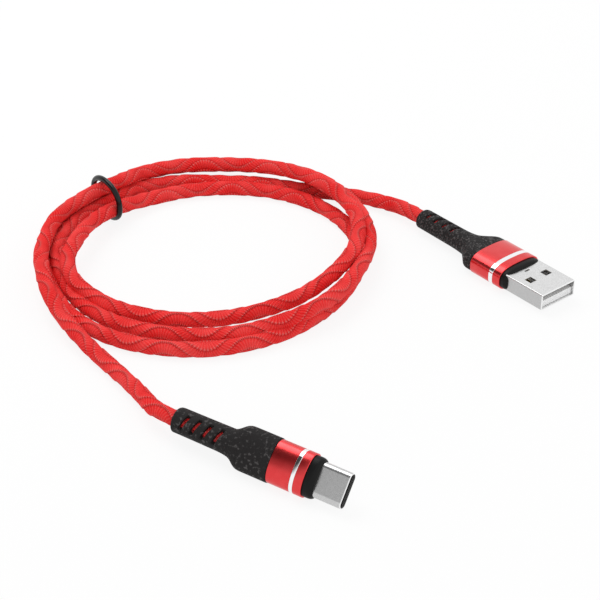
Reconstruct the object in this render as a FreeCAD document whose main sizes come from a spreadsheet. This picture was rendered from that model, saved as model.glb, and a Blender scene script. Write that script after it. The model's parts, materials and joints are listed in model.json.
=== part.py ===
import FreeCAD, Part
import math
import os
from FreeCAD import Placement, Rotation, Vector

# Charging cable: a plug of each kind on a one metre woven cable, which is wound into three and a half
# loose turns and held by a rubber ring. Millimetres, +Z up, the table at Z = 0, and the origin under
# the middle of the two plugs and the ring. A plug is modelled along +X, from the tail of its boot to
# the mouth of its shell, and its placement lays it on the table.

sizeRows = [
    ("cable_diameter", 3.9, "cable over its woven jacket"),
    ("strand_gap", 0.05, "least height of a strand over the table"),
    ("fit", 0.05, "clearance between pieces that seat in each other"),
    ("coil_centre_x", -29.671, "middle of the coil from the origin"),
    ("coil_centre_y", 40.728, "middle of the coil from the origin"),
    ("tie_x", -29.2, "middle of the rubber ring from the middle of the coil"),
    ("tie_y", 19.9, "middle of the rubber ring from the middle of the coil"),
    ("tie_heading", 44, "direction of the ring's axis, in degrees from +X"),
    ("tie_thickness", 1.6, "rubber ring, round section"),
    ("tie_half_width", 7.6, "ring's middle line, sideways"),
    ("tie_half_height", 6.6, "ring's middle line, upwards"),
    ("tie_end_radius", 5.9, "ring's middle line at its sides"),
    ("slot_first", 4.1, "boot tail to its first slot"),
    ("slot_pitch", 3.15, "from one slot of a boot to the next"),
    ("slot_count", 4, "slots along a boot"),
    ("slot_width", 1.2, "slot along the boot"),
    ("slot_span", 3.7, "slot across the boot"),
    ("slot_margin", 0.65, "last slot to where the boot starts to flare"),
    ("neck_growth", 0.2, "slotted neck of a boot, from its tail to its last slot"),
    ("chamber_bore", 5.0, "hollow in the boot round crimp and wires"),
    ("crimp_wall", 0.4, "metal sleeve round the jacket's end"),
    ("crimp_length", 2.8, "metal sleeve round the jacket's end"),
    ("wire_diameter", 0.8, "insulated wire"),
    ("wire_pitch", 0.9, "wire to wire where they leave the jacket"),
    ("wire_count", 4, "wires in the cable"),
    ("pad_pitch", 1.2, "wire to wire on the board"),
    ("wire_lap", 1.2, "wires over the board"),
    ("board_thickness", 0.8, "circuit board"),
    ("mould_wall", 1.0, "inner mould behind the board"),
    ("wire_hole_height", 2.6, "opening for the wires in the inner mould"),
    ("sleeve_wall", 0.5, "aluminium sleeve"),
    ("ring_depth", 0.2, "groove of the bright ring"),
    ("ring_proud", 0.04, "bright ring over the sleeve"),
    ("edge_round", 0.15, "small roundings of metal edges"),
    ("bezel_round", 0.9, "front edge of the bezel"),
    ("bezel_step", 0.35, "sleeve over the bezel, each side"),
    # the plug for the charger
    ("a_plug_x", 57.3, "boot tail from the middle of the coil"),
    ("a_plug_y", 15.2, "boot tail from the middle of the coil"),
    ("a_plug_heading", -50.3, "direction of the plug, in degrees from +X"),
    ("a_tail_width", 5.8, "boot at its tail"),
    ("a_tail_height", 5.4, "boot at its tail"),
    ("a_flare_length", 4.4, "boot's slotted neck to its shoulder"),
    ("a_neck_width", 7.2, "boot where its shoulder starts"),
    ("a_shoulder_length", 4.8, "shoulder of the boot"),
    ("a_collar_length", 2.4, "boot behind the sleeve"),
    ("a_sleeve_length", 10.7, "aluminium sleeve"),
    ("a_sleeve_width", 14.6, "aluminium sleeve"),
    ("a_sleeve_height", 7.0, "aluminium sleeve"),
    ("a_side_flat", 2.4, "straight stretch of the narrow sides"),
    ("a_boot_step", -0.2, "boot over the sleeve, each side"),
    ("a_ring_start", 6.7, "back of the sleeve to the bright ring"),
    ("a_ring_width", 1.6, "bright ring"),
    ("a_bezel_length", 2.0, "bezel in front of the sleeve"),
    ("a_shell_reach", 12.1, "shell in front of the bezel"),
    ("a_shell_seat", 7.0, "shell inside bezel and sleeve"),
    ("a_shell_width", 12.0, "outside"),
    ("a_shell_height", 4.5, "outside"),
    ("a_shell_wall", 0.3, "sheet steel"),
    ("a_board_width", 9.6, "circuit board"),
    ("a_board_length", 4.5, "circuit board"),
    ("window_side", 2.2, "square windows of the shell"),
    ("window_pitch", 5.7, "window to window"),
    ("window_setback", 7.2, "windows behind the mouth of the shell"),
    ("dimple_length", 0.5, "small slot behind the windows"),
    ("dimple_span", 1.3, "small slot behind the windows"),
    ("dimple_setback", 11.0, "small slot behind the mouth of the shell"),
    ("tongue_thickness", 1.85, "white tongue with the contacts"),
    ("tongue_setback", 0.7, "tongue behind the mouth of the shell"),
    ("block_length", 4.0, "back block of the tongue"),
    ("a_contact_width", 1.0, "contact strip"),
    ("a_contact_thickness", 0.2, "contact strip"),
    ("a_contact_inner", 1.0, "inner contacts from the middle"),
    ("a_contact_outer", 3.5, "outer contacts from the middle"),
    ("a_contact_setback", 1.6, "contacts behind the front of the tongue"),
    ("a_contact_tail", 2.6, "contacts over the board"),
    # the plug for the phone
    ("c_plug_x", -4.7, "boot tail from the middle of the coil"),
    ("c_plug_y", -78.5, "boot tail from the middle of the coil"),
    ("c_plug_heading", -34.2, "direction of the plug, in degrees from +X"),
    ("c_plug_roll", 50.0, "plug turned about its own length"),
    ("c_tail_width", 6.2, "boot at its tail"),
    ("c_tail_height", 5.9, "boot at its tail"),
    ("c_flare_length", 2.0, "boot's slotted neck to its shoulder"),
    ("c_neck_width", 7.0, "boot where its shoulder starts"),
    ("c_shoulder_length", 2.8, "shoulder of the boot"),
    ("c_collar_length", 8.6, "boot behind the sleeve"),
    ("c_sleeve_length", 9.4, "aluminium sleeve"),
    ("c_sleeve_width", 10.3, "aluminium sleeve"),
    ("c_sleeve_height", 6.0, "aluminium sleeve"),
    ("c_side_flat", 0.5, "straight stretch of the narrow sides"),
    ("c_boot_step", 0.15, "boot over the sleeve, each side"),
    ("c_ring_start", 5.9, "back of the sleeve to the bright ring"),
    ("c_ring_width", 1.4, "bright ring"),
    ("c_bezel_length", 2.5, "bezel in front of the sleeve"),
    ("c_shell_reach", 7.2, "shell in front of the bezel"),
    ("c_shell_seat", 5.0, "shell inside bezel and sleeve"),
    ("c_shell_width", 8.34, "outside"),
    ("c_shell_height", 2.56, "outside"),
    ("c_shell_wall", 0.2, "drawn steel"),
    ("c_board_width", 7.6, "circuit board"),
    ("c_board_length", 5.7, "circuit board"),
    ("liner_setback", 0.4, "liner behind the mouth of the shell"),
    ("liner_back", 0.9, "liner in front of the shell's back edge"),
    ("cavity_depth", 5.9, "mouth of the liner"),
    ("cavity_width", 7.2, "mouth of the liner"),
    ("cavity_height", 0.95, "mouth of the liner"),
    ("c_contact_count", 12, "contacts in a row"),
    ("c_contact_pitch", 0.5, "contact to contact"),
    ("c_contact_width", 0.25, "contact strip"),
    ("c_contact_thickness", 0.12, "contact strip"),
    ("c_contact_length", 4.6, "contact strip"),
    ("latch_inset", 2.95, "latch arm from the middle of the plug"),
    ("latch_thickness", 0.2, "latch arm"),
    ("latch_height", 0.5, "latch arm"),
    ("latch_length", 5.2, "latch arm"),
    ("latch_hook", 0.15, "latch nose, inwards"),
    ("latch_nose", 0.6, "latch nose, along the arm"),
    ("latch_gap", 0.1, "latch arm in front of the back wall of the mouth"),
    ("spring_length", 2.4, "grounding plate on the liner"),
    ("spring_width", 4.6, "grounding plate on the liner"),
    ("spring_thickness", 0.12, "grounding plate on the liner"),
    ("spring_setback", 3.0, "grounding plate behind the front of the liner"),
    ("resistor_length", 1.6, "pull-up resistor on the board"),
    ("resistor_width", 0.8, "pull-up resistor on the board"),
    ("resistor_height", 0.45, "pull-up resistor on the board"),
]

# A pass is one way round the coil, from the cable's phone end. At each station it has the distance of
# the cable from the middle of the coil and its height there. A height of 0 lies on the table. In the
# rubber ring the two numbers are the place in the ring, outwards and upwards from its middle.
stationAngles = {"left": 180, "tie": 0, "back": 90, "rightBack": 45, "right": 0, "rightFront": -45,
                 "front": -90, "frontLeft": -135}
coilPasses = [
    {"left": (44.2, 4.4), "tie": (1.0, 2.9), "back": (43.4, 4.0), "rightBack": (40.2, 4.5),
     "right": (38.2, 4.4), "rightFront": (35.4, 1.2), "front": (33.2, 0), "frontLeft": (37.5, 1.4)},
    {"left": (36.6, 4.4), "tie": (-4.2, -0.8), "back": (34.2, 0), "rightBack": (36.6, 0),
     "right": (40.2, 0), "rightFront": (42.5, 0), "front": (46.4, 0), "frontLeft": (46.8, 0)},
    {"left": (43.9, 0), "tie": (4.1, -1.3), "back": (47.8, 0.6), "rightBack": (44.7, 4.5),
     "right": (42.9, 4.5), "rightFront": (40.1, 4.1), "front": (39.8, 0), "frontLeft": (41.9, 0)},
    {"left": (39.2, 0), "tie": (-0.3, -3.3), "back": (40.2, 0)},
]

# The free stretches, point by point from the middle of the coil. Their first and last points come from
# the plug and from the coil.
phoneTailRoute = [(-13.0, -71.2, 1.5), (-17.3, -64.3, 0.3), (-23.6, -53.8, 0.0), (-30.6, -43.8, 0.8),
                  (-37.0, -34.2, 2.8), (-41.3, -25.0, 4.1), (-43.8, -17.0, 4.6)]
chargerTailRoute = [(15.0, 38.7, 0.0), (24.0, 35.7, 0.0), (34.0, 32.0, 0.0), (42.6, 28.4, 0.1),
                    (48.9, 24.1, 0.7)]

doc = FreeCAD.newDocument("charging_cable")
sheet = doc.addObject("Spreadsheet::Sheet", "sizes")
for row, (alias, value, note) in enumerate(sizeRows, 1):
    sheet.set(f"A{row}", note)
    sheet.set(f"B{row}", str(value))
    sheet.setAlias(f"B{row}", alias)
doc.recompute()


class Size:
    """A length with its number and its text for an expression."""

    def __init__(self, number, text):
        self.number = number
        self.text = text

    def joined(self, other, sign, number):
        return Size(number, f"({self.text} {sign} {asSize(other).text})")

    def __add__(self, other):
        return self.joined(other, "+", self.number + asSize(other).number)

    def __sub__(self, other):
        return self.joined(other, "-", self.number - asSize(other).number)

    def __mul__(self, other):
        return self.joined(other, "*", self.number * asSize(other).number)

    def __truediv__(self, other):
        return self.joined(other, "/", self.number / asSize(other).number)

    def __neg__(self):
        return self * -1


def asSize(value):
    return value if isinstance(value, Size) else Size(float(value), repr(float(value)))


def size(alias):
    """The cell of that name, to bind a dimension to."""
    return Size(float(sheet.get(alias)), f"sizes.{alias}")


def number(alias):
    return float(sheet.get(alias))


subParts = []


def subPart(thing, name, placement):
    """Labels a finished sub-part and lays it in its place."""
    thing.Label = name
    thing.Placement = placement
    subParts.append(thing)
    return thing


def newBody(name):
    return doc.addObject("PartDesign::Body", name + "_body")


def newSketch(body, role, offset=None):
    """A sketch on one of the body's own planes, moved along the plane's normal."""
    sketch = body.newObject("Sketcher::SketchObject", "outline")
    plane = next(each for each in body.Origin.OriginFeatures if each.Role == role)
    sketch.AttachmentSupport = (plane, "")
    sketch.MapMode = "FlatFace"
    if offset is not None:
        sketch.AttachmentOffset = Placement(Vector(0, 0, offset.number), Rotation())
        sketch.setExpression("AttachmentOffset.Base.z", offset.text)
    return sketch


def bind(sketch, index, value):
    """Gives a dimension of a sketch its value from the sheet."""
    name = f"size{index}"
    sketch.renameConstraint(index, name)
    sketch.setExpression(f"Constraints.{name}", asSize(value).text)


def addOblong(sketch, width, height):
    """A slot shape on the origin, wider than high, with half round ends."""
    import Sketcher
    width, height = asSize(width), asSize(height)
    r = height.number / 2
    c = width.number / 2 - r
    up = Vector(0, 0, 1)
    first = sketch.GeometryCount
    sketch.addGeometry(Part.LineSegment(Vector(-c, r, 0), Vector(c, r, 0)))
    sketch.addGeometry(Part.ArcOfCircle(Part.Circle(Vector(c, 0, 0), up, r), -math.pi / 2, math.pi / 2))
    sketch.addGeometry(Part.LineSegment(Vector(c, -r, 0), Vector(-c, -r, 0)))
    sketch.addGeometry(Part.ArcOfCircle(Part.Circle(Vector(-c, 0, 0), up, r), math.pi / 2, math.pi * 1.5))
    top, right, bottom, left = first, first + 1, first + 2, first + 3
    sketch.addConstraint(Sketcher.Constraint("Tangent", top, 2, right, 2))
    sketch.addConstraint(Sketcher.Constraint("Tangent", right, 1, bottom, 1))
    sketch.addConstraint(Sketcher.Constraint("Tangent", bottom, 2, left, 2))
    sketch.addConstraint(Sketcher.Constraint("Tangent", left, 1, top, 1))
    sketch.addConstraint(Sketcher.Constraint("Symmetric", left, 3, right, 3, -1, 1))
    sketch.addConstraint(Sketcher.Constraint("PointOnObject", right, 3, -1))
    bind(sketch, sketch.addConstraint(Sketcher.Constraint("Radius", right, r)), height / 2)
    bind(sketch, sketch.addConstraint(Sketcher.Constraint("DistanceX", left, 3, right, 3, 2 * c)),
         width - height)


def addRounded(sketch, width, height, flat):
    """A rectangle with large round corners. Its upright sides keep a straight stretch, flat long."""
    import Sketcher
    width, height, flat = asSize(width), asSize(height), asSize(flat)
    radius = (height - flat) / 2
    r = radius.number
    x, y = width.number / 2 - r, flat.number / 2
    up = Vector(0, 0, 1)
    first = sketch.GeometryCount
    corners = [(x, y, 0), (-x, y, 90), (-x, -y, 180), (x, -y, 270)]
    ends = [(-x, y + r), (-x - r, -y), (x, -y - r), (x + r, y)]
    for index, (cx, cy, start) in enumerate(corners):
        begin = math.radians(start)
        sketch.addGeometry(
            Part.ArcOfCircle(Part.Circle(Vector(cx, cy, 0), up, r), begin, begin + math.pi / 2))
        here = Vector(cx + r * math.cos(begin + math.pi / 2), cy + r * math.sin(begin + math.pi / 2), 0)
        sketch.addGeometry(Part.LineSegment(here, Vector(*ends[index], 0)))
    arcs, lines = [first, first + 2, first + 4, first + 6], [first + 1, first + 3, first + 5, first + 7]
    for arc, line in zip(arcs, lines):
        sketch.addConstraint(Sketcher.Constraint("Tangent", arc, 2, line, 1))
    for line, arc in zip(lines, arcs[1:] + arcs[:1]):
        sketch.addConstraint(Sketcher.Constraint("Tangent", line, 2, arc, 1))
    for arc in arcs[1:]:
        sketch.addConstraint(Sketcher.Constraint("Equal", arcs[0], arc))
    sketch.addConstraint(Sketcher.Constraint("Horizontal", lines[0]))
    sketch.addConstraint(Sketcher.Constraint("Vertical", lines[1]))
    sketch.addConstraint(Sketcher.Constraint("Symmetric", arcs[0], 3, arcs[2], 3, -1, 1))
    bind(sketch, sketch.addConstraint(Sketcher.Constraint("Radius", arcs[0], r)), radius)
    bind(sketch, sketch.addConstraint(Sketcher.Constraint("DistanceX", -1, 1, arcs[0], 3, x)),
         width / 2 - radius)
    bind(sketch, sketch.addConstraint(Sketcher.Constraint("DistanceY", -1, 1, arcs[0], 3, y)), flat / 2)


def addRectangle(sketch, width, height, x=0, y=0):
    """A rectangle with its middle at x, y of the sketch."""
    import Sketcher
    width, height = asSize(width), asSize(height)
    left, low = asSize(x) - width / 2, asSize(y) - height / 2
    x0, y0 = left.number, low.number
    x1, y1 = x0 + width.number, y0 + height.number
    first = sketch.GeometryCount
    corners = [Vector(x0, y0, 0), Vector(x1, y0, 0), Vector(x1, y1, 0), Vector(x0, y1, 0)]
    for start, end in zip(corners, corners[1:] + corners[:1]):
        sketch.addGeometry(Part.LineSegment(start, end))
    for side in range(4):
        sketch.addConstraint(
            Sketcher.Constraint("Coincident", first + side, 2, first + (side + 1) % 4, 1))
    for side, kind in enumerate(["Horizontal", "Vertical", "Horizontal", "Vertical"]):
        sketch.addConstraint(Sketcher.Constraint(kind, first + side))
    bind(sketch, sketch.addConstraint(
        Sketcher.Constraint("DistanceX", first, 1, first, 2, width.number)), width)
    bind(sketch, sketch.addConstraint(
        Sketcher.Constraint("DistanceY", first + 1, 1, first + 1, 2, height.number)), height)
    bind(sketch, sketch.addConstraint(Sketcher.Constraint("DistanceX", -1, 1, first, 1, x0)), left)
    bind(sketch, sketch.addConstraint(Sketcher.Constraint("DistanceY", -1, 1, first, 1, y0)), low)


def addCircle(sketch, diameter):
    import Sketcher
    diameter = asSize(diameter)
    sketch.addGeometry(Part.Circle(Vector(0, 0, 0), Vector(0, 0, 1), diameter.number / 2))
    sketch.addConstraint(Sketcher.Constraint("Coincident", 0, 3, -1, 1))
    bind(sketch, sketch.addConstraint(Sketcher.Constraint("Diameter", 0, diameter.number)), diameter)


def oblongs(*pairs):
    """Draws each width and height as a slot shape in one sketch."""
    def draw(sketch):
        for width, height in pairs:
            addOblong(sketch, width, height)
    return draw


def rounded(*sections):
    def draw(sketch):
        for section in sections:
            addRounded(sketch, *section)
    return draw


def rectangles(*boxes):
    def draw(sketch):
        for box in boxes:
            addRectangle(sketch, *box)
    return draw


def circle(diameter):
    def draw(sketch):
        addCircle(sketch, diameter)
    return draw


def extrude(body, kind, start, length, draw):
    """Pads or pockets a section across the plug, from start for length towards the mouth."""
    sketch = newSketch(body, "YZ_Plane", asSize(start))
    draw(sketch)
    feature = body.newObject("PartDesign::" + kind, kind.lower())
    feature.Profile = sketch
    feature.Length = asSize(length).number
    feature.setExpression("Length", asSize(length).text)
    feature.Reversed = kind == "Pocket"
    doc.recompute()
    return feature


def pad(body, start, length, draw):
    return extrude(body, "Pad", start, length, draw)


def pocket(body, start, length, draw):
    before = body.Shape.Volume
    feature = extrude(body, "Pocket", start, length, draw)
    if body.Shape.Volume > before - 1e-6:
        raise RuntimeError(body.Name + ": a pocket cuts nothing")
    return feature


def addLoft(body, sections, ruled):
    """A loft through rounded rectangles: where each lies, its width, its height and its flat."""
    sketches = []
    for start, width, height, flat in sections:
        sketch = newSketch(body, "YZ_Plane", start)
        addRounded(sketch, width, height, flat)
        sketches.append(sketch)
    loft = body.newObject("PartDesign::AdditiveLoft", "taper")
    loft.Profile = sketches[0]
    loft.Sections = sketches[1:]
    loft.Ruled = ruled
    doc.recompute()


def cutDown(body, draw, depthFrom=None):
    """Cuts a shape, drawn seen from above, through the whole height or from a height upwards."""
    before = body.Shape.Volume
    sketch = newSketch(body, "XY_Plane", depthFrom)
    draw(sketch)
    feature = body.newObject("PartDesign::Pocket", "window")
    feature.Profile = sketch
    feature.Type = "ThroughAll"
    feature.Reversed = True
    if depthFrom is None:
        feature.Midplane = True
    doc.recompute()
    if body.Shape.Volume > before - 1e-6:
        raise RuntimeError(body.Name + ": a window cuts nothing")
    return feature


def roundEdges(body, radius, wanted):
    """Rounds the edges of the body's last feature that are wanted."""
    base = body.Tip
    names = [f"Edge{index}" for index, edge in enumerate(base.Shape.Edges, 1) if wanted(edge)]
    fillet = body.newObject("PartDesign::Fillet", "rounding")
    fillet.Base = (base, names)
    fillet.Radius = radius.number
    fillet.setExpression("Radius", radius.text)
    body.Tip = fillet
    doc.recompute()


def outerRim(x, reach):
    """Edges that lie in the section at x and outside of reach, measured across the plug."""
    def wanted(edge):
        box = edge.BoundBox
        across = max(abs(box.YMin), abs(box.YMax))
        high = max(abs(box.ZMin), abs(box.ZMax))
        return abs(box.XMin - x) < 1e-4 and abs(box.XMax - x) < 1e-4 and max(across, high) > reach
    return wanted


def alongPlug(width, height):
    """The four long edges of a box of that outside size."""
    def wanted(edge):
        box = edge.BoundBox
        middle = box.Center
        return (box.YLength < 1e-4 and box.ZLength < 1e-4 and abs(abs(middle.y) - width / 2) < 1e-3
                and abs(abs(middle.z) - height / 2) < 1e-3)
    return wanted


def plugPlacement(which):
    """Where a plug lies: its boot's tail, its direction and how far it is rolled."""
    roll = number("c_plug_roll") if which == "c" else 0.0
    width = max(number(f"{which}_sleeve_width"),
                number(f"{which}_sleeve_width") + 2 * number(f"{which}_boot_step"))
    height = max(number(f"{which}_sleeve_height"),
                 number(f"{which}_sleeve_height") + 2 * number(f"{which}_boot_step"))
    bright = max(0.0, number("ring_proud") - max(0.0, number(f"{which}_boot_step")))
    flat = number(f"{which}_side_flat")
    corner = (height - flat) / 2
    sine, cosine = abs(math.sin(math.radians(roll))), abs(math.cos(math.radians(roll)))
    lift = (width / 2 - corner) * sine + flat / 2 * cosine + corner + bright
    heading = Rotation(Vector(0, 0, 1), number(f"{which}_plug_heading"))
    place = Vector(number("coil_centre_x") + number(f"{which}_plug_x"),
                   number("coil_centre_y") + number(f"{which}_plug_y"), lift)
    return Placement(place, heading.multiply(Rotation(Vector(1, 0, 0), roll)))


plugs = {"a": plugPlacement("a"), "c": plugPlacement("c")}


def tube(points, diameter):
    """A round tube along straight runs joined by tangent arcs. Returns it with its path and radii."""
    edges = []
    radii = []
    at = points[0]
    for before, corner, after in zip(points, points[1:], points[2:]):
        run, nextRun = corner - before, after - corner
        turn = run.getAngle(nextRun)
        reach = 0.45 * min(run.Length, nextRun.Length)
        radius = reach / math.tan(turn / 2)
        inward, outward = Vector(run).normalize(), Vector(nextRun).normalize()
        start, end = corner - inward * reach, corner + outward * reach
        middle = corner + (outward - inward).normalize() * (radius / math.cos(turn / 2) - radius)
        edges += [Part.LineSegment(at, start).toShape(), Part.Arc(start, middle, end).toShape()]
        radii.append(radius)
        at = end
    edges.append(Part.LineSegment(at, points[-1]).toShape())
    path = Part.Wire(edges)
    return sweep(path, diameter), path, radii


def sweep(path, diameter):
    """A round section along a wire of lines and arcs."""
    start = path.OrderedEdges[0]
    section = Part.Circle(start.valueAt(start.FirstParameter),
                          start.tangentAt(start.FirstParameter), diameter / 2)
    return path.makePipeShell([Part.Wire(section.toShape())], True, False)


def fromCoil(x, y, z):
    """A place measured from the middle of the coil, with the height of a strand's own underside."""
    lying = number("cable_diameter") / 2 + number("strand_gap")
    return Vector(number("coil_centre_x") + x, number("coil_centre_y") + y, lying + z)


def tiePlace():
    """The middle of the rubber ring, which stands on the table."""
    return Vector(number("coil_centre_x") + number("tie_x"), number("coil_centre_y") + number("tie_y"),
                  number("tie_half_height") + number("tie_thickness") / 2)


def coilKnots():
    """The places that the coil's turns go through, as angle, distance and height."""
    heading = math.radians(number("tie_heading") + 90)
    knots = []
    for crossing in coilPasses:
        for station, (out, up) in crossing.items():
            if station == "tie":
                across = Vector(math.cos(heading), math.sin(heading), 0)
                place = tiePlace() + across * out + Vector(0, 0, up) - fromCoil(0, 0, 0)
                angle, distance, height = math.atan2(place.y, place.x), math.hypot(place.x, place.y), place.z
            else:
                angle, distance, height = math.radians(stationAngles[station]), out, up
            while knots and angle > knots[-1][0]:
                angle -= 2 * math.pi
            knots.append((angle, distance, height))
    return knots


def slopes(knots, column):
    """How fast a column of the knots changes with the angle, from each knot to the next."""
    return [(after[column] - before[column]) / (after[0] - before[0])
            for before, after in zip(knots, knots[1:])]


def distanceChange(knots, index):
    """Between the slopes on both sides, nearer to that of the shorter side."""
    rates = slopes(knots, 1)
    if index in (0, len(knots) - 1):
        return (rates[0] if index == 0 else rates[-1]) / 4
    before, after = knots[index][0] - knots[index - 1][0], knots[index + 1][0] - knots[index][0]
    return (rates[index - 1] * after + rates[index] * before) / (before + after)


def heightChange(knots, index):
    """Level at the ends and wherever the cable stops rising or falling, so that it never dips."""
    rates = slopes(knots, 2)
    if index in (0, len(knots) - 1) or rates[index - 1] * rates[index] <= 0:
        return 0.0
    return 2 * rates[index - 1] * rates[index] / (rates[index - 1] + rates[index])


def coilFrames():
    """Each knot's point and the cable's direction there."""
    knots = coilKnots()
    frames = []
    for index, (angle, distance, height) in enumerate(knots):
        out = Vector(math.cos(angle), math.sin(angle), 0)
        along = Vector(-math.sin(angle), math.cos(angle), 0)
        change = (out * distanceChange(knots, index) + along * distance
                  + Vector(0, 0, heightChange(knots, index)))
        frames.append((fromCoil(out.x * distance, out.y * distance, height), change.normalize() * -1))
    return frames


def arcFrom(start, direction, end):
    """The arc that leaves start in that direction and reaches end, with its radius."""
    chord = end - start
    along = Vector(chord).normalize()
    side = direction - along * direction.dot(along)
    half = math.asin(min(1.0, side.Length))
    middle = (start + end) * 0.5 + side.normalize() * (chord.Length / 2 * math.tan(half / 2))
    return Part.Arc(start, middle, end).toShape(), chord.Length / (2 * math.sin(half))


def biarc(start, direction, end, endDirection):
    """Two arcs that meet smoothly, between two points with their directions."""
    chord, both = end - start, direction + endDirection
    a, b, c = 2 * (1 - direction.dot(endDirection)), 2 * chord.dot(both), -chord.dot(chord)
    reach = -c / b if a < 1e-9 else (-b + math.sqrt(b * b - 4 * a * c)) / (2 * a)
    meeting = (start + direction * reach + end - endDirection * reach) * 0.5
    first, firstRadius = arcFrom(start, direction, meeting)
    second, secondRadius = arcFrom(end, endDirection * -1, meeting)
    back = Part.Arc(meeting, second.valueAt((second.FirstParameter + second.LastParameter) / 2), end)
    return [first, back.toShape()], [firstRadius, secondRadius]


def leastGap(path, diameter, step=1.5, beside=20.0):
    """The least gap between strands, on points along the path that are not neighbours."""
    points = path.discretize(Distance=step)
    skip = int(beside / step)
    least = min((points[i] - points[j]).Length
                for i in range(len(points)) for j in range(i + skip, len(points)))
    return least - diameter


def buildCoil():
    """The wound part of the cable, one unbroken tube with a straight end of one diameter each way."""
    diameter = number("cable_diameter")
    frames = coilFrames()
    first, last = frames[0], frames[-1]
    ends = (first[0] - first[1] * diameter, last[0] + last[1] * diameter)
    edges = [Part.LineSegment(ends[0], first[0]).toShape()]
    radii = []
    for (start, direction), (end, endDirection) in zip(frames, frames[1:]):
        arcs, arcRadii = biarc(start, direction, end, endDirection)
        edges += arcs
        radii += arcRadii
    edges.append(Part.LineSegment(last[0], ends[1]).toShape())
    path = Part.Wire(edges)
    coil = doc.addObject("Part::Feature", "cable_coil")
    coil.Shape = sweep(path, diameter)
    subPart(coil, "cable_coil", Placement())
    report("cable_coil", coil.Shape, path, radii, diameter)
    print("cable_coil least gap to itself", round(leastGap(path, diameter), 2))
    return (ends[0], first[1]), (ends[1], last[1])


def report(name, shape, path, radii, diameter):
    expected = math.pi * diameter ** 2 / 4 * path.Length
    print(name, "length", round(path.Length, 1), "least radius", round(min(radii), 1),
          "radii", [round(each, 1) for each in radii],
          "volume over section times length", round(shape.Volume / expected, 4))


def buildTail(name, points):
    diameter = number("cable_diameter")
    shape, path, radii = tube(points, diameter)
    tail = doc.addObject("Part::Feature", name)
    tail.Shape = shape
    subPart(tail, name, Placement())
    report(name, shape, path, radii, diameter)


def tailStart(which, lead):
    """The cable's way into a boot: the tail's middle and a point straight behind it."""
    middle = plugs[which].Base
    ahead = plugs[which].Rotation.multVec(Vector(1, 0, 0))
    return middle, middle - ahead * lead


def buildCable():
    """The coil and the two free stretches, which meet it and the boots face to face."""
    coilStart, coilEnd = buildCoil()
    print("coil starts at", coilStart, "and ends at", coilEnd)
    bootLead, coilLead = 6.0, 5.0
    exitC, leadC = tailStart("c", bootLead)
    exitA, leadA = tailStart("a", bootLead)
    beforeCoil = coilStart[0] - coilStart[1] * coilLead
    afterCoil = coilEnd[0] + coilEnd[1] * coilLead
    phone = [exitC, leadC] + [fromCoil(*each) for each in phoneTailRoute] + [beforeCoil, coilStart[0]]
    charger = [coilEnd[0], afterCoil] + [fromCoil(*each) for each in chargerTailRoute] + [leadA, exitA]
    buildTail("cable_tail_c", phone)
    buildTail("cable_tail_a", charger)


def buildTie():
    """The rubber ring: a round section along an oval of four arcs."""
    a, b, r = number("tie_half_width"), number("tie_half_height"), number("tie_end_radius")
    shift = a - r
    drop = (shift ** 2 - (b - r) ** 2) / (2 * (b - r))
    large = b + drop
    turn = math.atan2(drop, shift)
    corner = Vector(shift + r * math.cos(turn), r * math.sin(turn), 0)
    top, side = Vector(0, b, 0), Vector(a, 0, 0)

    def mirrored(point, x, y):
        return Vector(point.x * x, point.y * y, 0)

    arcs = [Part.Arc(mirrored(corner, 1, -1), side, corner),
            Part.Arc(corner, top, mirrored(corner, -1, 1)),
            Part.Arc(mirrored(corner, -1, 1), mirrored(side, -1, 1), mirrored(corner, -1, -1)),
            Part.Arc(mirrored(corner, -1, -1), mirrored(top, 1, -1), mirrored(corner, 1, -1))]
    tie = doc.addObject("Part::Feature", "coil_tie")
    tie.Shape = sweep(Part.Wire([arc.toShape() for arc in arcs]), number("tie_thickness"))
    standing = Rotation(Vector(1, 0, 0), 90)
    turned = Rotation(Vector(0, 0, 1), number("tie_heading") + 90)
    subPart(tie, "coil_tie", Placement(tiePlace(), turned.multiply(standing)))
    print("coil_tie large radius", round(large, 2))


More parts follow.
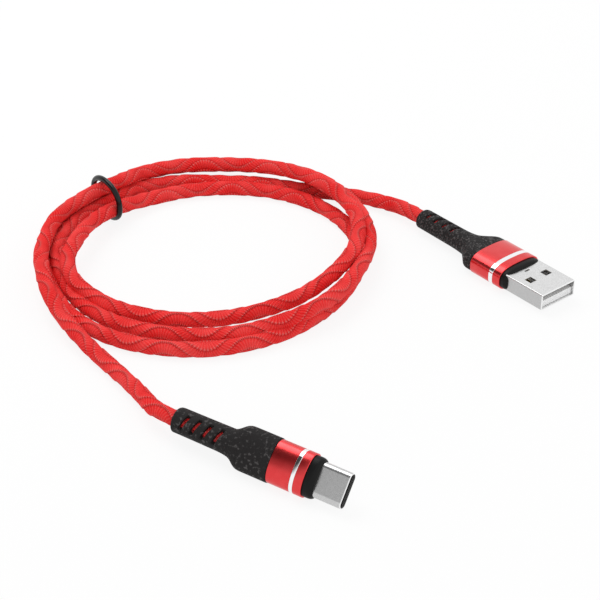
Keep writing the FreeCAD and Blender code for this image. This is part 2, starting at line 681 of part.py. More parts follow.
class Plug:
    """What both plugs have, with the sizes of one of them."""

    def __init__(self, which):
        self.which = which
        self.placement = plugs[which]
        slots = size("slot_first") + size("slot_pitch") * (size("slot_count") - 1)
        self.straight = slots + size("slot_width") / 2 + size("slot_margin")
        self.neck = self.straight + self.own("flare_length")
        self.shoulder = self.neck + self.own("shoulder_length")
        self.boot = self.shoulder + self.own("collar_length")
        self.sleeve = self.own("sleeve_length")
        self.sleeveFront = self.boot + self.sleeve
        self.bezelFront = self.sleeveFront + self.own("bezel_length")
        self.mouth = self.bezelFront + self.own("shell_reach")
        self.shellBack = self.bezelFront - self.own("shell_seat")
        self.width = self.own("sleeve_width")
        self.height = self.own("sleeve_height")
        self.flat = self.own("side_flat")
        self.jacketEnd = self.neck + size("crimp_length")

    def own(self, name):
        return size(f"{self.which}_{name}")

    def name(self, piece):
        return f"usb_{self.which}_{piece}"

    def outline(self, grown):
        """The sleeve's section, grown on every side, as the size of a rounded rectangle."""
        return (self.width + asSize(grown) * 2, self.height + asSize(grown) * 2, self.flat)

    def finish(self, thing, piece):
        return subPart(thing, self.name(piece), self.placement)

    def body(self, piece):
        return newBody(self.name(piece))

    def buildBoot(self):
        """The strain relief: a slotted neck that flares into the shoulder behind the sleeve."""
        body = self.body("boot")
        tailWidth, tailHeight = self.own("tail_width"), self.own("tail_height")
        neckWidth = self.own("neck_width")
        fullWidth, fullHeight, flat = self.outline(self.own("boot_step"))
        tail = (asSize(0), tailWidth, tailHeight, flat / 4)
        growth = size("neck_growth")
        straight = (self.straight, tailWidth + growth, tailHeight + growth, flat / 4)
        neck = (self.neck, neckWidth, (tailHeight * 2 + fullHeight) / 3, flat / 4)
        waist = (self.neck + self.own("shoulder_length") / 2, (fullWidth + neckWidth) / 2,
                 (tailHeight + fullHeight * 2) / 3, flat / 2)
        full = (self.shoulder, fullWidth, fullHeight, flat)
        addLoft(body, [tail, straight], True)
        addLoft(body, [straight, neck, waist, full], False)
        pad(body, self.shoulder, self.boot - self.shoulder, rounded(full[1:]))
        roundEdges(body, size("edge_round") * 3, outerRim(0, number("cable_diameter") / 2))
        slots = [(size("slot_width"), size("slot_span"), size("slot_first") + size("slot_pitch") * index)
                 for index in range(int(number("slot_count")))]
        cutDown(body, rectangles(*slots))
        pocket(body, 0, self.neck, circle(size("cable_diameter") + size("fit")))
        pocket(body, self.neck, self.boot - self.neck, circle(size("chamber_bore")))
        self.finish(body, "boot")

    def buildCableEnd(self):
        """The jacket inside the boot, from its tail to the crimp."""
        body = self.body("cable_end")
        pad(body, 0, self.jacketEnd, circle(size("cable_diameter")))
        self.finish(body, "cable_end")

    def buildCrimp(self):
        body = self.body("crimp")
        bore = size("cable_diameter") + size("fit")
        pad(body, self.neck, size("crimp_length"), circle(bore + size("crimp_wall") * 2))
        pocket(body, self.neck, size("crimp_length"), circle(bore))
        self.finish(body, "crimp")

    def buildWires(self):
        """The wires, from the jacket's end fanned out to the pads of the board."""
        diameter = number("wire_diameter")
        height = self.boardTop + diameter / 2
        start, end = self.jacketEnd.number, self.boardStart.number + number("wire_lap")
        count = int(number("wire_count"))
        pieces = []
        for index in range(count):
            row = index - (count - 1) / 2
            near, far = row * number("wire_pitch"), row * number("pad_pitch")
            lead = (end - start) / 4
            points = [Vector(start, near, height), Vector(start + lead, near, height),
                      Vector(end - lead, far, height), Vector(end, far, height)]
            pieces.append(tube(points, diameter)[0])
        wires = doc.addObject("Part::Feature", self.name("wires"))
        wires.Shape = Part.makeCompound(pieces)
        self.finish(wires, "wires")

    def buildSleeve(self):
        """The aluminium tube, with the groove of the bright ring."""
        body = self.body("sleeve")
        wall, depth = size("sleeve_wall"), size("ring_depth")
        pad(body, self.boot, self.sleeve, rounded(self.outline(0)))
        pocket(body, self.boot, self.sleeve, rounded(self.outline(-wall)))
        reach = self.width.number / 2 - wall.number / 2
        for x in (self.boot.number, self.sleeveFront.number):
            roundEdges(body, size("edge_round"), outerRim(x, reach))
        pocket(body, self.boot + self.own("ring_start"), self.own("ring_width"),
               rounded(self.outline(wall), self.outline(-depth)))
        self.finish(body, "sleeve")

    def buildTrimRing(self):
        """The bright ring, sunk in the groove of the sleeve."""
        body = self.body("trim_ring")
        proud, depth, fit = size("ring_proud"), size("ring_depth"), size("fit")
        start = self.boot + self.own("ring_start") + fit / 2
        inner = depth - fit / 2
        pad(body, start, self.own("ring_width") - fit, rounded(self.outline(proud)))
        pocket(body, start, self.own("ring_width") - fit, rounded(self.outline(-inner)))
        self.finish(body, "trim_ring")

    def buildMould(self, drawShellSeat):
        """The moulded core in the sleeve: it holds the shell and the board, and lets the wires in."""
        body = self.body("inner_mould")
        pad(body, self.boot, self.sleeve, rounded(self.outline(-(size("sleeve_wall") + size("fit")))))
        fan = size("pad_pitch") * (size("wire_count") - 1) + size("wire_diameter") + size("fit") * 4
        pocket(body, self.boot, size("mould_wall"), rectangles((fan, size("wire_hole_height"))))
        start = self.boot + size("mould_wall")
        fit = size("fit")
        pocket(body, start, self.shellBack - start,
               rectangles((self.own("board_width") + fit * 2, self.chamberHeight)))
        pocket(body, self.shellBack, self.sleeveFront - self.shellBack, drawShellSeat)
        self.finish(body, "inner_mould")

    def buildBoard(self):
        body = self.body("circuit_board")
        pad(body, self.boardStart, self.own("board_length"),
            rectangles((self.own("board_width"), size("board_thickness"), 0, self.boardMiddle)))
        self.finish(body, "circuit_board")

    def buildBezel(self, drawHole):
        """The black nose between sleeve and shell, with a rounded front."""
        body = self.body("bezel")
        length = self.own("bezel_length")
        pad(body, self.sleeveFront, length, rounded(self.outline(-size("bezel_step"))))
        roundEdges(body, size("bezel_round"), outerRim(self.bezelFront.number, 0))
        pocket(body, self.sleeveFront, length, drawHole)
        self.finish(body, "bezel")


class ChargerPlug(Plug):
    """The wide plug: a folded steel shell with a tongue and four contacts."""

    def __init__(self):
        super().__init__("a")
        self.innerWidth = self.own("shell_width") - self.own("shell_wall") * 2
        self.innerHeight = self.own("shell_height") - self.own("shell_wall") * 2
        self.tongueLow = -(self.innerHeight / 2) + size("fit")
        self.tongueTop = self.tongueLow + size("tongue_thickness")
        self.contactLow = self.tongueTop - self.own("contact_thickness")
        self.boardMiddle = self.contactLow - size("board_thickness") / 2
        self.boardTop = self.contactLow.number
        self.tongueBack = self.shellBack + size("fit")
        self.boardStart = self.tongueBack - size("fit") - self.own("board_length")
        self.chamberHeight = size("wire_hole_height")
        self.contactRows = [-self.own("contact_outer"), -self.own("contact_inner"),
                            self.own("contact_inner"), self.own("contact_outer")]

    def build(self):
        fit = size("fit") * 2
        width, height = self.own("shell_width"), self.own("shell_height")
        self.buildBoot()
        self.buildCableEnd()
        self.buildCrimp()
        self.buildWires()
        self.buildSleeve()
        self.buildTrimRing()
        self.buildMould(rectangles((width + fit, height + fit)))
        self.buildBoard()
        self.buildBezel(rectangles((width + fit, height + fit)))
        self.buildShell()
        self.buildInsulator()
        self.buildContacts()

    def buildShell(self):
        body = self.body("shell")
        width, height = self.own("shell_width"), self.own("shell_height")
        length = self.mouth - self.shellBack
        pad(body, self.shellBack, length, rectangles((width, height)))
        roundEdges(body, size("edge_round") * 2, alongPlug(width.number, height.number))
        pocket(body, self.shellBack, length, rectangles((self.innerWidth, self.innerHeight)))
        side, away = size("window_side"), size("window_pitch") / 2
        windows = self.mouth - size("window_setback")
        cutDown(body, rectangles((side, side, windows, away), (side, side, windows, -away)))
        cutDown(body, rectangles((size("dimple_length"), size("dimple_span"),
                                  self.mouth - size("dimple_setback"))), asSize(0))
        self.finish(body, "shell")

    def buildInsulator(self):
        """The tongue on its block, with a groove for each contact."""
        body = self.body("insulator")
        fit = size("fit")
        length = self.mouth - size("tongue_setback") - self.tongueBack
        middle = (self.tongueLow + self.tongueTop) / 2
        width = self.innerWidth - fit * 2
        pad(body, self.tongueBack, length, rectangles((width, size("tongue_thickness"), 0, middle)))
        pad(body, self.tongueBack, size("block_length"),
            rectangles((width, self.innerHeight - fit * 2)))
        groove = self.own("contact_width") + fit
        deep = self.own("contact_thickness") + fit
        level = self.contactLow + deep / 2
        pocket(body, self.tongueBack, length - self.own("contact_setback") + fit,
               rectangles(*[(groove, deep, row, level) for row in self.contactRows]))
        self.finish(body, "insulator")

    def buildContacts(self):
        """Four strips, from the pads of the board to near the front of the tongue."""
        start = self.tongueBack - self.own("contact_tail")
        length = (self.mouth - size("tongue_setback") - self.own("contact_setback")) - start
        width, thickness = self.own("contact_width"), self.own("contact_thickness")
        strips = []
        for row in self.contactRows:
            strips.append(bar(start, row, self.contactLow + thickness / 2, length, width, thickness))
        self.finish(together("usb_a_contacts_row", strips), "contacts")


class PhonePlug(Plug):
    """The small plug: a drawn oval shell with a liner, two rows of contacts and two latch arms."""

    def __init__(self):
        super().__init__("c")
        self.innerWidth = self.own("shell_width") - self.own("shell_wall") * 2
        self.innerHeight = self.own("shell_height") - self.own("shell_wall") * 2
        self.boardMiddle = asSize(0)
        self.boardTop = number("board_thickness") / 2
        self.linerBack = self.shellBack + size("liner_back")
        self.linerFront = self.mouth - size("liner_setback")
        self.cavityBack = self.linerFront - size("cavity_depth")
        self.boardStart = self.shellBack - self.own("board_length")
        self.chamberHeight = size("wire_hole_height") + size("fit") * 4

    def build(self):
        fit = size("fit") * 2
        hole = oblongs((self.own("shell_width") + fit, self.own("shell_height") + fit))
        self.buildBoot()
        self.buildCableEnd()
        self.buildCrimp()
        self.buildWires()
        self.buildSleeve()
        self.buildTrimRing()
        self.buildMould(hole)
        self.buildBoard()
        self.buildBezel(hole)
        self.buildShell()
        self.buildLiner()
        self.buildContacts("contacts_upper", 1)
        self.buildContacts("contacts_lower", -1)
        self.buildLatch("latch_left", 1)
        self.buildLatch("latch_right", -1)
        self.buildSprings()
        self.buildResistor()

    def buildShell(self):
        body = self.body("shell")
        width, height = self.own("shell_width"), self.own("shell_height")
        length = self.mouth - self.shellBack
        pad(body, self.shellBack, length, oblongs((width, height)))
        roundEdges(body, size("edge_round"), outerRim(self.mouth.number, 0))
        pocket(body, self.shellBack, length, oblongs((self.innerWidth, self.innerHeight)))
        self.finish(body, "shell")

    def buildLiner(self):
        """The plastic liner of the shell, with its mouth and the seats of the grounding plates."""
        body = self.body("insulator")
        fit = size("fit")
        width, height = self.innerWidth - fit * 2, self.innerHeight - fit * 2
        pad(body, self.linerBack, self.linerFront - self.linerBack, oblongs((width, height)))
        pocket(body, self.cavityBack, size("cavity_depth"),
               rectangles((size("cavity_width"), size("cavity_height"))))
        deep = size("spring_thickness") + fit
        level = height / 2 - deep / 2
        start = self.linerFront - size("spring_setback") - fit
        seat = size("spring_width") + fit * 2
        pocket(body, start, size("spring_length") + fit * 2,
               rectangles((seat, deep, 0, level), (seat, deep, 0, -level)))
        self.finish(body, "insulator")

    def buildContacts(self, piece, side):
        """A row of strips along the roof or the floor of the mouth."""
        thickness = self.own("contact_thickness")
        level = (size("cavity_height") / 2 - thickness / 2) * side
        count = int(number("c_contact_count"))
        strips = []
        for index in range(count):
            row = self.own("contact_pitch") * (index - (count - 1) / 2)
            strips.append(bar(self.cavityBack, row, level, self.own("contact_length"),
                              self.own("contact_width"), thickness))
        self.finish(together(self.name(piece) + "_row", strips), piece)

    def buildLatch(self, piece, side):
        """A spring arm beside the mouth, with a nose that snaps into the socket's tongue."""
        import Sketcher
        body = self.body(piece)
        start = self.cavityBack + size("latch_gap")
        end = start + size("latch_length")
        inside = size("latch_inset")
        outside = inside + size("latch_thickness")
        nose = inside - size("latch_hook")
        rise = end - size("latch_nose")
        peak = end - size("latch_nose") / 2
        corners = [(start, outside), (start, inside), (rise, inside), (peak, nose), (end, inside),
                   (end, outside)]
        sketch = newSketch(body, "XY_Plane")
        points = [Vector(x.number, y.number * side, 0) for x, y in corners]
        for index, (a, b) in enumerate(zip(points, points[1:] + points[:1])):
            sketch.addGeometry(Part.LineSegment(a, b))
        for index, (x, y) in enumerate(corners):
            sketch.addConstraint(Sketcher.Constraint(
                "Coincident", index, 2, (index + 1) % len(corners), 1))
        for index, (x, y) in enumerate(corners):
            bind(sketch, sketch.addConstraint(
                Sketcher.Constraint("DistanceX", -1, 1, index, 1, x.number)), x)
            bind(sketch, sketch.addConstraint(
                Sketcher.Constraint("DistanceY", -1, 1, index, 1, y.number * side)), y * side)
        arm = body.newObject("PartDesign::Pad", "arm")
        arm.Profile = sketch
        arm.Length = number("latch_height")
        arm.setExpression("Length", "sizes.latch_height")
        arm.Midplane = True
        doc.recompute()
        self.finish(body, piece)

    def buildSprings(self):
        """Grounding plates between liner and shell, above and below."""
        fit, thickness = size("fit"), size("spring_thickness")
        level = self.innerHeight / 2 - fit - thickness / 2
        start = self.linerFront - size("spring_setback")
        plates = [bar(start, 0, level * side, size("spring_length"), size("spring_width"), thickness)
                  for side in (1, -1)]
        self.finish(together("usb_c_spring_pair", plates), "ground_springs")

    def buildResistor(self):
        """The pull-up resistor beside the contacts' pads."""
        level = size("board_thickness") / 2 + size("resistor_height") / 2
        start = self.shellBack - size("resistor_length") - 1
        block = bar(start, 0, level, size("resistor_length"), size("resistor_width"),
                    size("resistor_height"))
        self.finish(together("usb_c_resistor_block", [block]), "resistor")


def bar(start, y, z, length, width, height):
    """A straight bar from start, with its section's middle at y and z."""
    box = doc.addObject("Part::Box", "bar")
    corner = (asSize(start), asSize(y) - asSize(width) / 2, asSize(z) - asSize(height) / 2)
    for key, value in zip(("Length", "Width", "Height"), (length, width, height)):
        setattr(box, key, asSize(value).number)
        box.setExpression(key, asSize(value).text)
    box.Placement = Placement(Vector(*[each.number for each in corner]), Rotation())
    for key, value in zip("xyz", corner):
        box.setExpression("Placement.Base." + key, value.text)
    return box


def together(name, boxes):
    """Separate pieces of one kind, kept as one sub-part."""
    group = doc.addObject("Part::Compound", name)
    group.Links = boxes
    return group


def checkAndExport():
    """Every object recomputed without an error and every sub-part a valid shape, then written."""
    doc.recompute()
    for each in doc.Objects:
        if "Invalid" in each.State or "Error" in each.State:
            raise RuntimeError(f"{each.Name} ({each.Label}) is {each.State}")
    os.makedirs("parts", exist_ok=True)
    for each in subParts:
        shape = each.Shape
        if shape.isNull() or not shape.isValid() or not shape.Solids:
            raise RuntimeError(each.Label + " has no valid solid")
        shape.exportStep(f"parts/{each.Label}.step")
    print(len(subParts), "sub-parts written")


buildCable()
buildTie()
ChargerPlug().build()
PhonePlug().build()
checkAndExport()
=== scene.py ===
import json
import math

import bmesh
import bpy
from mathutils import Matrix, Vector


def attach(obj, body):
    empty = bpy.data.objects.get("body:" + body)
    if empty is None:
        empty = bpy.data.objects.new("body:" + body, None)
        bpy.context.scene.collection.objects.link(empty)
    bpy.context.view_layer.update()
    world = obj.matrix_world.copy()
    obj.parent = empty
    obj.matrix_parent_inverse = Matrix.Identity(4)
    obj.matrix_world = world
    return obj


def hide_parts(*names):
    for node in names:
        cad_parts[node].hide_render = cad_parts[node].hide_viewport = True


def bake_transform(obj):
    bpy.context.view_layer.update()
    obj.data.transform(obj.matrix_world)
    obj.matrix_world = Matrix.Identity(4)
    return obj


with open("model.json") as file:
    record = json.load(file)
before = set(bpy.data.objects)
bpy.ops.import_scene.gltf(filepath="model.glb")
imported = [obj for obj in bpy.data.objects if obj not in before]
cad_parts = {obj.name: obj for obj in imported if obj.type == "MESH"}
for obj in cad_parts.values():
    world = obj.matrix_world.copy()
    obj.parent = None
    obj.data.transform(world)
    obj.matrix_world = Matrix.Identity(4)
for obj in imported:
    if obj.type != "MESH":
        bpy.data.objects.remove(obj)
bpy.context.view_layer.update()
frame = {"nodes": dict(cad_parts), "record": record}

nodes = frame["nodes"]
print("frame loaded:", len(nodes), "nodes")


# Node trees, written as sums

class Wire:
    # one output socket, which sums and products can be made of
    def __init__(self, board, socket):
        self.board, self.socket = board, socket

    def isVector(self):
        return self.socket.type in ("VECTOR", "RGBA")

    def combine(self, operation, *values):
        vectors = any(isinstance(each, Wire) and each.isVector() for each in values)
        kind = "ShaderNodeVectorMath" if vectors else "ShaderNodeMath"
        return self.board.put(kind, {"operation": operation}, dict(enumerate(values)))

    def __add__(self, other):
        return self.combine("ADD", self, other)

    def __radd__(self, other):
        return self.combine("ADD", other, self)

    def __sub__(self, other):
        return self.combine("SUBTRACT", self, other)

    def __rsub__(self, other):
        return self.combine("SUBTRACT", other, self)

    def __mul__(self, other):
        return self.combine("MULTIPLY", self, other)

    def __rmul__(self, other):
        return self.combine("MULTIPLY", other, self)

    def __truediv__(self, other):
        return self.combine("DIVIDE", self, other)

    def __rtruediv__(self, other):
        return self.combine("DIVIDE", other, self)

    def sine(self):
        return self.combine("SINE", self)

    def cosine(self):
        return self.combine("COSINE", self)

    def fraction(self):
        return self.combine("FRACT", self)

    def size(self):
        return self.combine("ABSOLUTE", self)

    def above(self, level):
        return self.combine("GREATER_THAN", self, level)

    def least(self, other):
        return self.combine("MINIMUM", self, other)

    def most(self, other):
        return self.combine("MAXIMUM", self, other)

    def ramp(self, low, high):
        # 0 below low, 1 above high, smooth between them
        return self.board.put("ShaderNodeMapRange", {"interpolation_type": "SMOOTHSTEP"},
                              {"Value": self, "From Min": low, "From Max": high})

    def other(self, name):
        # another output of the same node
        return Wire(self.board, self.socket.node.outputs[name])

    def part(self, axis):
        split = self.board.put("ShaderNodeSeparateXYZ", {}, {"Vector": self})
        return split.other(axis)


class Board:
    # a node tree that is being wired
    def __init__(self, tree):
        self.tree = tree

    def feed(self, socket, value):
        if isinstance(value, Wire):
            self.tree.links.new(value.socket, socket)
        elif socket.type == "RGBA" and not isinstance(value, (int, float)):
            socket.default_value = (*value[:3], 1.0)
        elif socket.type == "VECTOR" and isinstance(value, (int, float)):
            socket.default_value = (value, value, value)
        else:
            socket.default_value = value

    def put(self, kind, settings=None, sockets=None, output=0):
        # settings first, because they change which sockets there are
        made = self.tree.nodes.new(kind)
        for name, value in (settings or {}).items():
            if name == "captured":
                made.capture_items.new("FLOAT", value)
            else:
                setattr(made, name, value)
        for name, value in (sockets or {}).items():
            self.feed(made.inputs[name], value)
        return Wire(self, made.outputs[output])

    def mix(self, amount, first, second):
        # 6, 7 and 2 are the Mix node's colours A, B and Result
        return self.put("ShaderNodeMix", {"data_type": "RGBA"}, {0: amount, 6: first, 7: second}, 2)

    def vector(self, x, y, z):
        return self.put("ShaderNodeCombineXYZ", {}, {0: x, 1: y, 2: z})

    def place(self):
        return self.put("ShaderNodeTexCoord").other("Object")

    def noise(self, place, scale, detail=2.0, roughness=0.5):
        return self.put("ShaderNodeTexNoise", {}, {"Vector": place, "Scale": scale, "Detail": detail,
                                                   "Roughness": roughness})

    def bump(self, height, distance, strength=1.0):
        return self.put("ShaderNodeBump", {}, {"Height": height, "Distance": distance,
                                               "Strength": strength})


class Finish(Board):
    # a material with one shader; what stays the same all over is set on the shader's own sockets
    def __init__(self, name, **fixed):
        self.material = bpy.data.materials.new(name)
        self.material.use_nodes = True
        super().__init__(self.material.node_tree)
        self.shader = self.tree.nodes["Principled BSDF"]
        self.paint(**fixed)

    def paint(self, **sockets):
        for name, value in sockets.items():
            self.feed(self.shader.inputs[name.replace("_", " ")], value)


class Shaper(Board):
    # a Geometry Nodes tree with named inputs
    def __init__(self, name):
        super().__init__(bpy.data.node_groups.new(name, "GeometryNodeTree"))
        self.tree.interface.new_socket("Geometry", in_out="INPUT", socket_type="NodeSocketGeometry")
        self.tree.interface.new_socket("Geometry", in_out="OUTPUT", socket_type="NodeSocketGeometry")
        self.given = self.tree.nodes.new("NodeGroupInput")
        self.geometry = Wire(self, self.given.outputs[0])

    def ask(self, label, kind, value=None):
        made = self.tree.interface.new_socket(label, in_out="INPUT", socket_type="NodeSocket" + kind)
        if value is not None:
            made.default_value = value
        return Wire(self, self.given.outputs[label])

    def close(self, geometry, material):
        joined = self.put("GeometryNodeRealizeInstances", {}, {"Geometry": geometry})
        finished = self.put("GeometryNodeSetMaterial", {}, {"Geometry": joined, "Material": material})
        self.feed(self.tree.nodes.new("NodeGroupOutput").inputs[0], finished)

    def grow(self, thing, **values):
        # runs the tree on an object and leaves its result as that object's plain mesh
        modifier = thing.modifiers.new("shape", "NODES")
        modifier.node_group = self.tree
        for item in self.tree.interface.items_tree:
            key = "".join(item.name.title().split())
            key = key[:1].lower() + key[1:]
            if item.in_out == "INPUT" and key in values:
                modifier[item.identifier] = values[key]
        thing.update_tag()
        bpy.context.view_layer.update()
        ready = thing.evaluated_get(bpy.context.evaluated_depsgraph_get())
        mesh = bpy.data.meshes.new_from_object(ready)
        thing.modifiers.remove(modifier)
        thing.data = mesh


def newPiece(name, vertices=(), edges=(), faces=()):
    mesh = bpy.data.meshes.new(name)
    mesh.from_pydata([tuple(each) for each in vertices], list(edges), list(faces))
    piece = bpy.data.objects.new(name, mesh)
    bpy.context.scene.collection.objects.link(piece)
    return piece


# Camera, light and floor

view = {
    "target": (-0.005671, 0.019728, 0.0), "distance": 0.465, "height": 33.0, "lens": 108.0,
    "sensor": 36.0, "near": 0.01,
}
light = {
    "sky": 0.72, "aim": (0.0, 0.02, 0.0),
    "key": 1.9, "keyPlace": (-0.25, 0.30, 0.60), "keySize": 0.45,
    "fill": 0.5, "fillPlace": (0.45, -0.30, 0.35), "fillSize": 0.5,
    # the unlit part of the studio, high on the left, that polished metal shows as a dark band
    "darkWay": (-0.70, 0.10, 0.70), "darkWide": math.radians(27), "darkEdge": math.radians(9),
    "darkLevel": 0.05,
}
floorCloth = {"reach": 3.0, "colour": (0.92, 0.92, 0.92), "glowShare": 0.88}


def buildCamera():
    data = bpy.data.cameras.new("camera")
    data.lens = view["lens"]
    data.sensor_width = view["sensor"]
    data.clip_start = view["near"]
    camera = bpy.data.objects.new("camera", data)
    bpy.context.scene.collection.objects.link(camera)
    tilt = math.radians(view["height"])
    away = Vector((0, -math.cos(tilt), math.sin(tilt))) * view["distance"]
    camera.location = Vector(view["target"]) + away
    camera.rotation_euler = away.to_track_quat("Z", "Y").to_euler()
    bpy.context.scene.camera = camera


def addLamp(name, place, size, power):
    data = bpy.data.lights.new(name, "AREA")
    data.size = size
    data.energy = power
    lamp = bpy.data.objects.new(name, data)
    bpy.context.scene.collection.objects.link(lamp)
    lamp.location = place
    lamp.rotation_euler = (Vector(place) - Vector(light["aim"])).to_track_quat("Z", "Y").to_euler()


def seenBy(board):
    # 1 for rays from the camera, from reflections and through glass; and 1 for reflections alone
    path = board.put("ShaderNodeLightPath")
    glossy = path.other("Is Glossy Ray")
    return path.other("Is Camera Ray").most(glossy).most(path.other("Is Transmission Ray")), glossy


def buildStudio():
    world = bpy.data.worlds.new("studio")
    world.use_nodes = True
    bpy.context.scene.world = world
    board = Board(world.node_tree)
    back = world.node_tree.nodes["Background"]
    seen, glossy = seenBy(board)
    way = board.put("ShaderNodeTexCoord").other("Generated")
    toDark = board.put("ShaderNodeVectorMath", {"operation": "DOT_PRODUCT"}, {
        0: way, 1: Vector(light["darkWay"]).normalized()}).other("Value")
    dark = toDark.ramp(math.cos(light["darkWide"] + light["darkEdge"]),
                       math.cos(light["darkWide"] - light["darkEdge"])) * glossy
    back.inputs["Color"].default_value = (1, 1, 1, 1)
    level = seen * (1 - light["sky"]) + light["sky"]
    board.feed(back.inputs["Strength"], level * (1 - dark * (1 - light["darkLevel"])))
    for lamp in ("key", "fill"):
        addLamp(lamp, light[lamp + "Place"], light[lamp + "Size"], light[lamp])
    bpy.context.scene.view_settings.view_transform = "Standard"


def layFloor():
    # it takes shadows, and is otherwise as white as the studio
    reach = floorCloth["reach"]
    corners = [(-reach, -reach, 0), (reach, -reach, 0), (reach, reach, 0), (-reach, reach, 0)]
    floor = newPiece("floor", corners, (), [(0, 1, 2, 3)])
    cloth = Finish("floorWhite", Base_Color=floorCloth["colour"], Roughness=1.0)
    glow = cloth.put("ShaderNodeEmission", {}, {"Color": (1, 1, 1), "Strength": 1.0})
    cloth.feed(cloth.tree.nodes["Material Output"].inputs["Surface"], cloth.put("ShaderNodeMixShader", {}, {
        0: seenBy(cloth)[0] * floorCloth["glowShare"], 1: Wire(cloth, cloth.shader.outputs[0]), 2: glow}))
    floor.data.materials.append(cloth.material)


buildCamera()
buildStudio()
layFloor()
print("camera, lamps and floor ready")


# Where the plugs lie, and the sizes of what is swept round their crowned sections

plugs = {
    "charger": {
        "node": "usb_a_", "body": "charger_plug", "place": (0.027629, 0.055928, 0.00354),
        "heading": -50.3, "roll": 0.0, "cableEnd": 0.0220, "tail": (0.0058, 0.0054), "neck": 0.0072,
        "flare": 0.0044, "shoulder": 0.0048, "collar": 0.0024,
        "sleeve": 0.0107, "width": 0.0145, "height": 0.0070,
        "crown": 2.9, "bootStep": -0.00014, "ringStart": 0.0068, "ringWidth": 0.0014,
        "bezel": 0.0020, "shell": (0.0120, 0.0045, 14.0), "shellReach": 0.0121, "shellSeat": 0.0070,
        "board": (0.0098, 0.0027), "fleckSize": 1700.0, "flecks": (0.50, 0.66),
    },
    "phone": {
        "node": "usb_c_", "body": "phone_plug", "place": (-0.034371, -0.037772, 0.004899),
        "heading": -34.2, "roll": 50.0, "cableEnd": 0.0196, "tail": (0.0062, 0.0059), "neck": 0.0070,
        "flare": 0.0020, "shoulder": 0.0028, "collar": 0.0086,
        "sleeve": 0.0094, "width": 0.0104, "height": 0.0061,
        "crown": 2.3, "bootStep": 0.00015, "ringStart": 0.0062, "ringWidth": 0.0010,
        "bezel": 0.0025, "shell": (0.00834, 0.00256, 3.5), "shellReach": 0.0072, "shellSeat": 0.0050,
        "board": (0.0078, 0.0027), "fleckSize": 1150.0, "flecks": (0.54, 0.70),
    },
}


# The cable's route: the free stretches and the coil's turns are points of one NURBS spline

route = {
    "middle": (-0.029671, 0.040728), "low": 0.002, "perTurn": 24,
    "stations": {"left": 180, "leftBack": 160, "besideTie": 118, "back": 90, "rightBack": 45, "right": 0,
                 "rightCorner": -25, "rightFront": -45, "front": -90, "frontLeft": -135, "leftFront": -158},
    "bootLead": 0.006, "coilLead": 0.005, "diameter": 0.0039, "inBoot": 0.0015,
    "order": 3, "resolution": 16,
    # the share of its first and last slope that the coil's line has at its ends
    "endShare": 0.25,
}
tieRing = {
    "place": (-0.0294, 0.0215), "height": 0.0061, "heading": 36, "thickness": 0.0016,
    "width": 0.0138, "tall": 0.0105, "crown": 2.2, "steps": 72, "sides": 20, "lookAhead": 0.01,
}
# distance from the coil's middle and height over a lying strand; in the ring, outwards and upwards
coilPasses = [
    {"left": (0.0438, 0.0044), "leftBack": (0.0422, 0.0049), "tie": (0.0012, 0.0024),
     "besideTie": (0.0424, 0.0034), "back": (0.0415, 0.0036), "rightBack": (0.0404, 0.0058),
     "right": (0.0396, 0.0060), "rightCorner": (0.0377, 0.0046), "rightFront": (0.0343, 0.0014),
     "front": (0.0331, 0.0), "frontLeft": (0.0378, 0.0014), "leftFront": (0.0396, 0.0036)},
    {"left": (0.0348, 0.0044), "leftBack": (0.0333, 0.0034), "tie": (-0.0043, -0.0015),
     "besideTie": (0.0331, 0.0), "back": (0.0339, 0.0), "rightBack": (0.0375, 0.0),
     "right": (0.0402, 0.0), "rightCorner": (0.0403, 0.0), "rightFront": (0.0419, 0.0),
     "front": (0.0464, 0.0), "frontLeft": (0.0464, 0.0), "leftFront": (0.0440, 0.0)},
    {"left": (0.0446, 0.0), "leftBack": (0.0432, 0.0004), "tie": (0.0041, -0.0012),
     "besideTie": (0.0470, 0.0004), "back": (0.0466, 0.0006), "rightBack": (0.0433, 0.0040),
     "right": (0.0425, 0.0034), "rightCorner": (0.0419, 0.0040), "rightFront": (0.0434, 0.0040),
     "front": (0.0404, 0.0), "frontLeft": (0.0411, 0.0), "leftFront": (0.0402, 0.0)},
    {"left": (0.0408, 0.0012), "leftBack": (0.0398, 0.0010), "tie": (0.0004, -0.0019),
     "besideTie": (0.0403, 0.0), "back": (0.0377, 0.0)},
]
phoneTail = [(-0.0118, -0.0698, 0.0014), (-0.0151, -0.0630, 0.0003), (-0.0220, -0.0535, 0.0),
             (-0.0296, -0.0438, 0.0008), (-0.0364, -0.0342, 0.0028), (-0.0406, -0.0250, 0.0043),
             (-0.0428, -0.0160, 0.0046)]
chargerTail = [(0.0150, 0.0362, 0.0), (0.0240, 0.0336, 0.0), (0.0340, 0.0312, 0.0),
               (0.0426, 0.0284, 0.0001), (0.0489, 0.0241, 0.0007)]


def fromCoil(x, y, z):
    return Vector((route["middle"][0] + x, route["middle"][1] + y, route["low"] + z))


def ahead(heading):
    return Vector((math.cos(math.radians(heading)), math.sin(math.radians(heading)), 0))


def onTurn(angle, distance, height):
    return fromCoil(math.cos(angle) * distance, math.sin(angle) * distance, height)


def ringMiddle():
    x, y = tieRing["place"]
    return fromCoil(x, y, tieRing["height"] - route["low"])


def coilKnots():
    # angle, distance and height of each station, the angle falling along the cable
    across = ahead(tieRing["heading"] + 90)
    knots = []
    for crossing in coilPasses:
        for station, (out, up) in crossing.items():
            if station == "tie":
                at = ringMiddle() + across * out + Vector((0, 0, up)) - fromCoil(0, 0, 0)
                angle, distance, height = math.atan2(at.y, at.x), math.hypot(at.x, at.y), at.z
            else:
                angle, distance, height = math.radians(route["stations"][station]), out, up
            while knots and angle > knots[-1][0]:
                angle -= 2 * math.pi
            knots.append((angle, distance, height))
    return knots


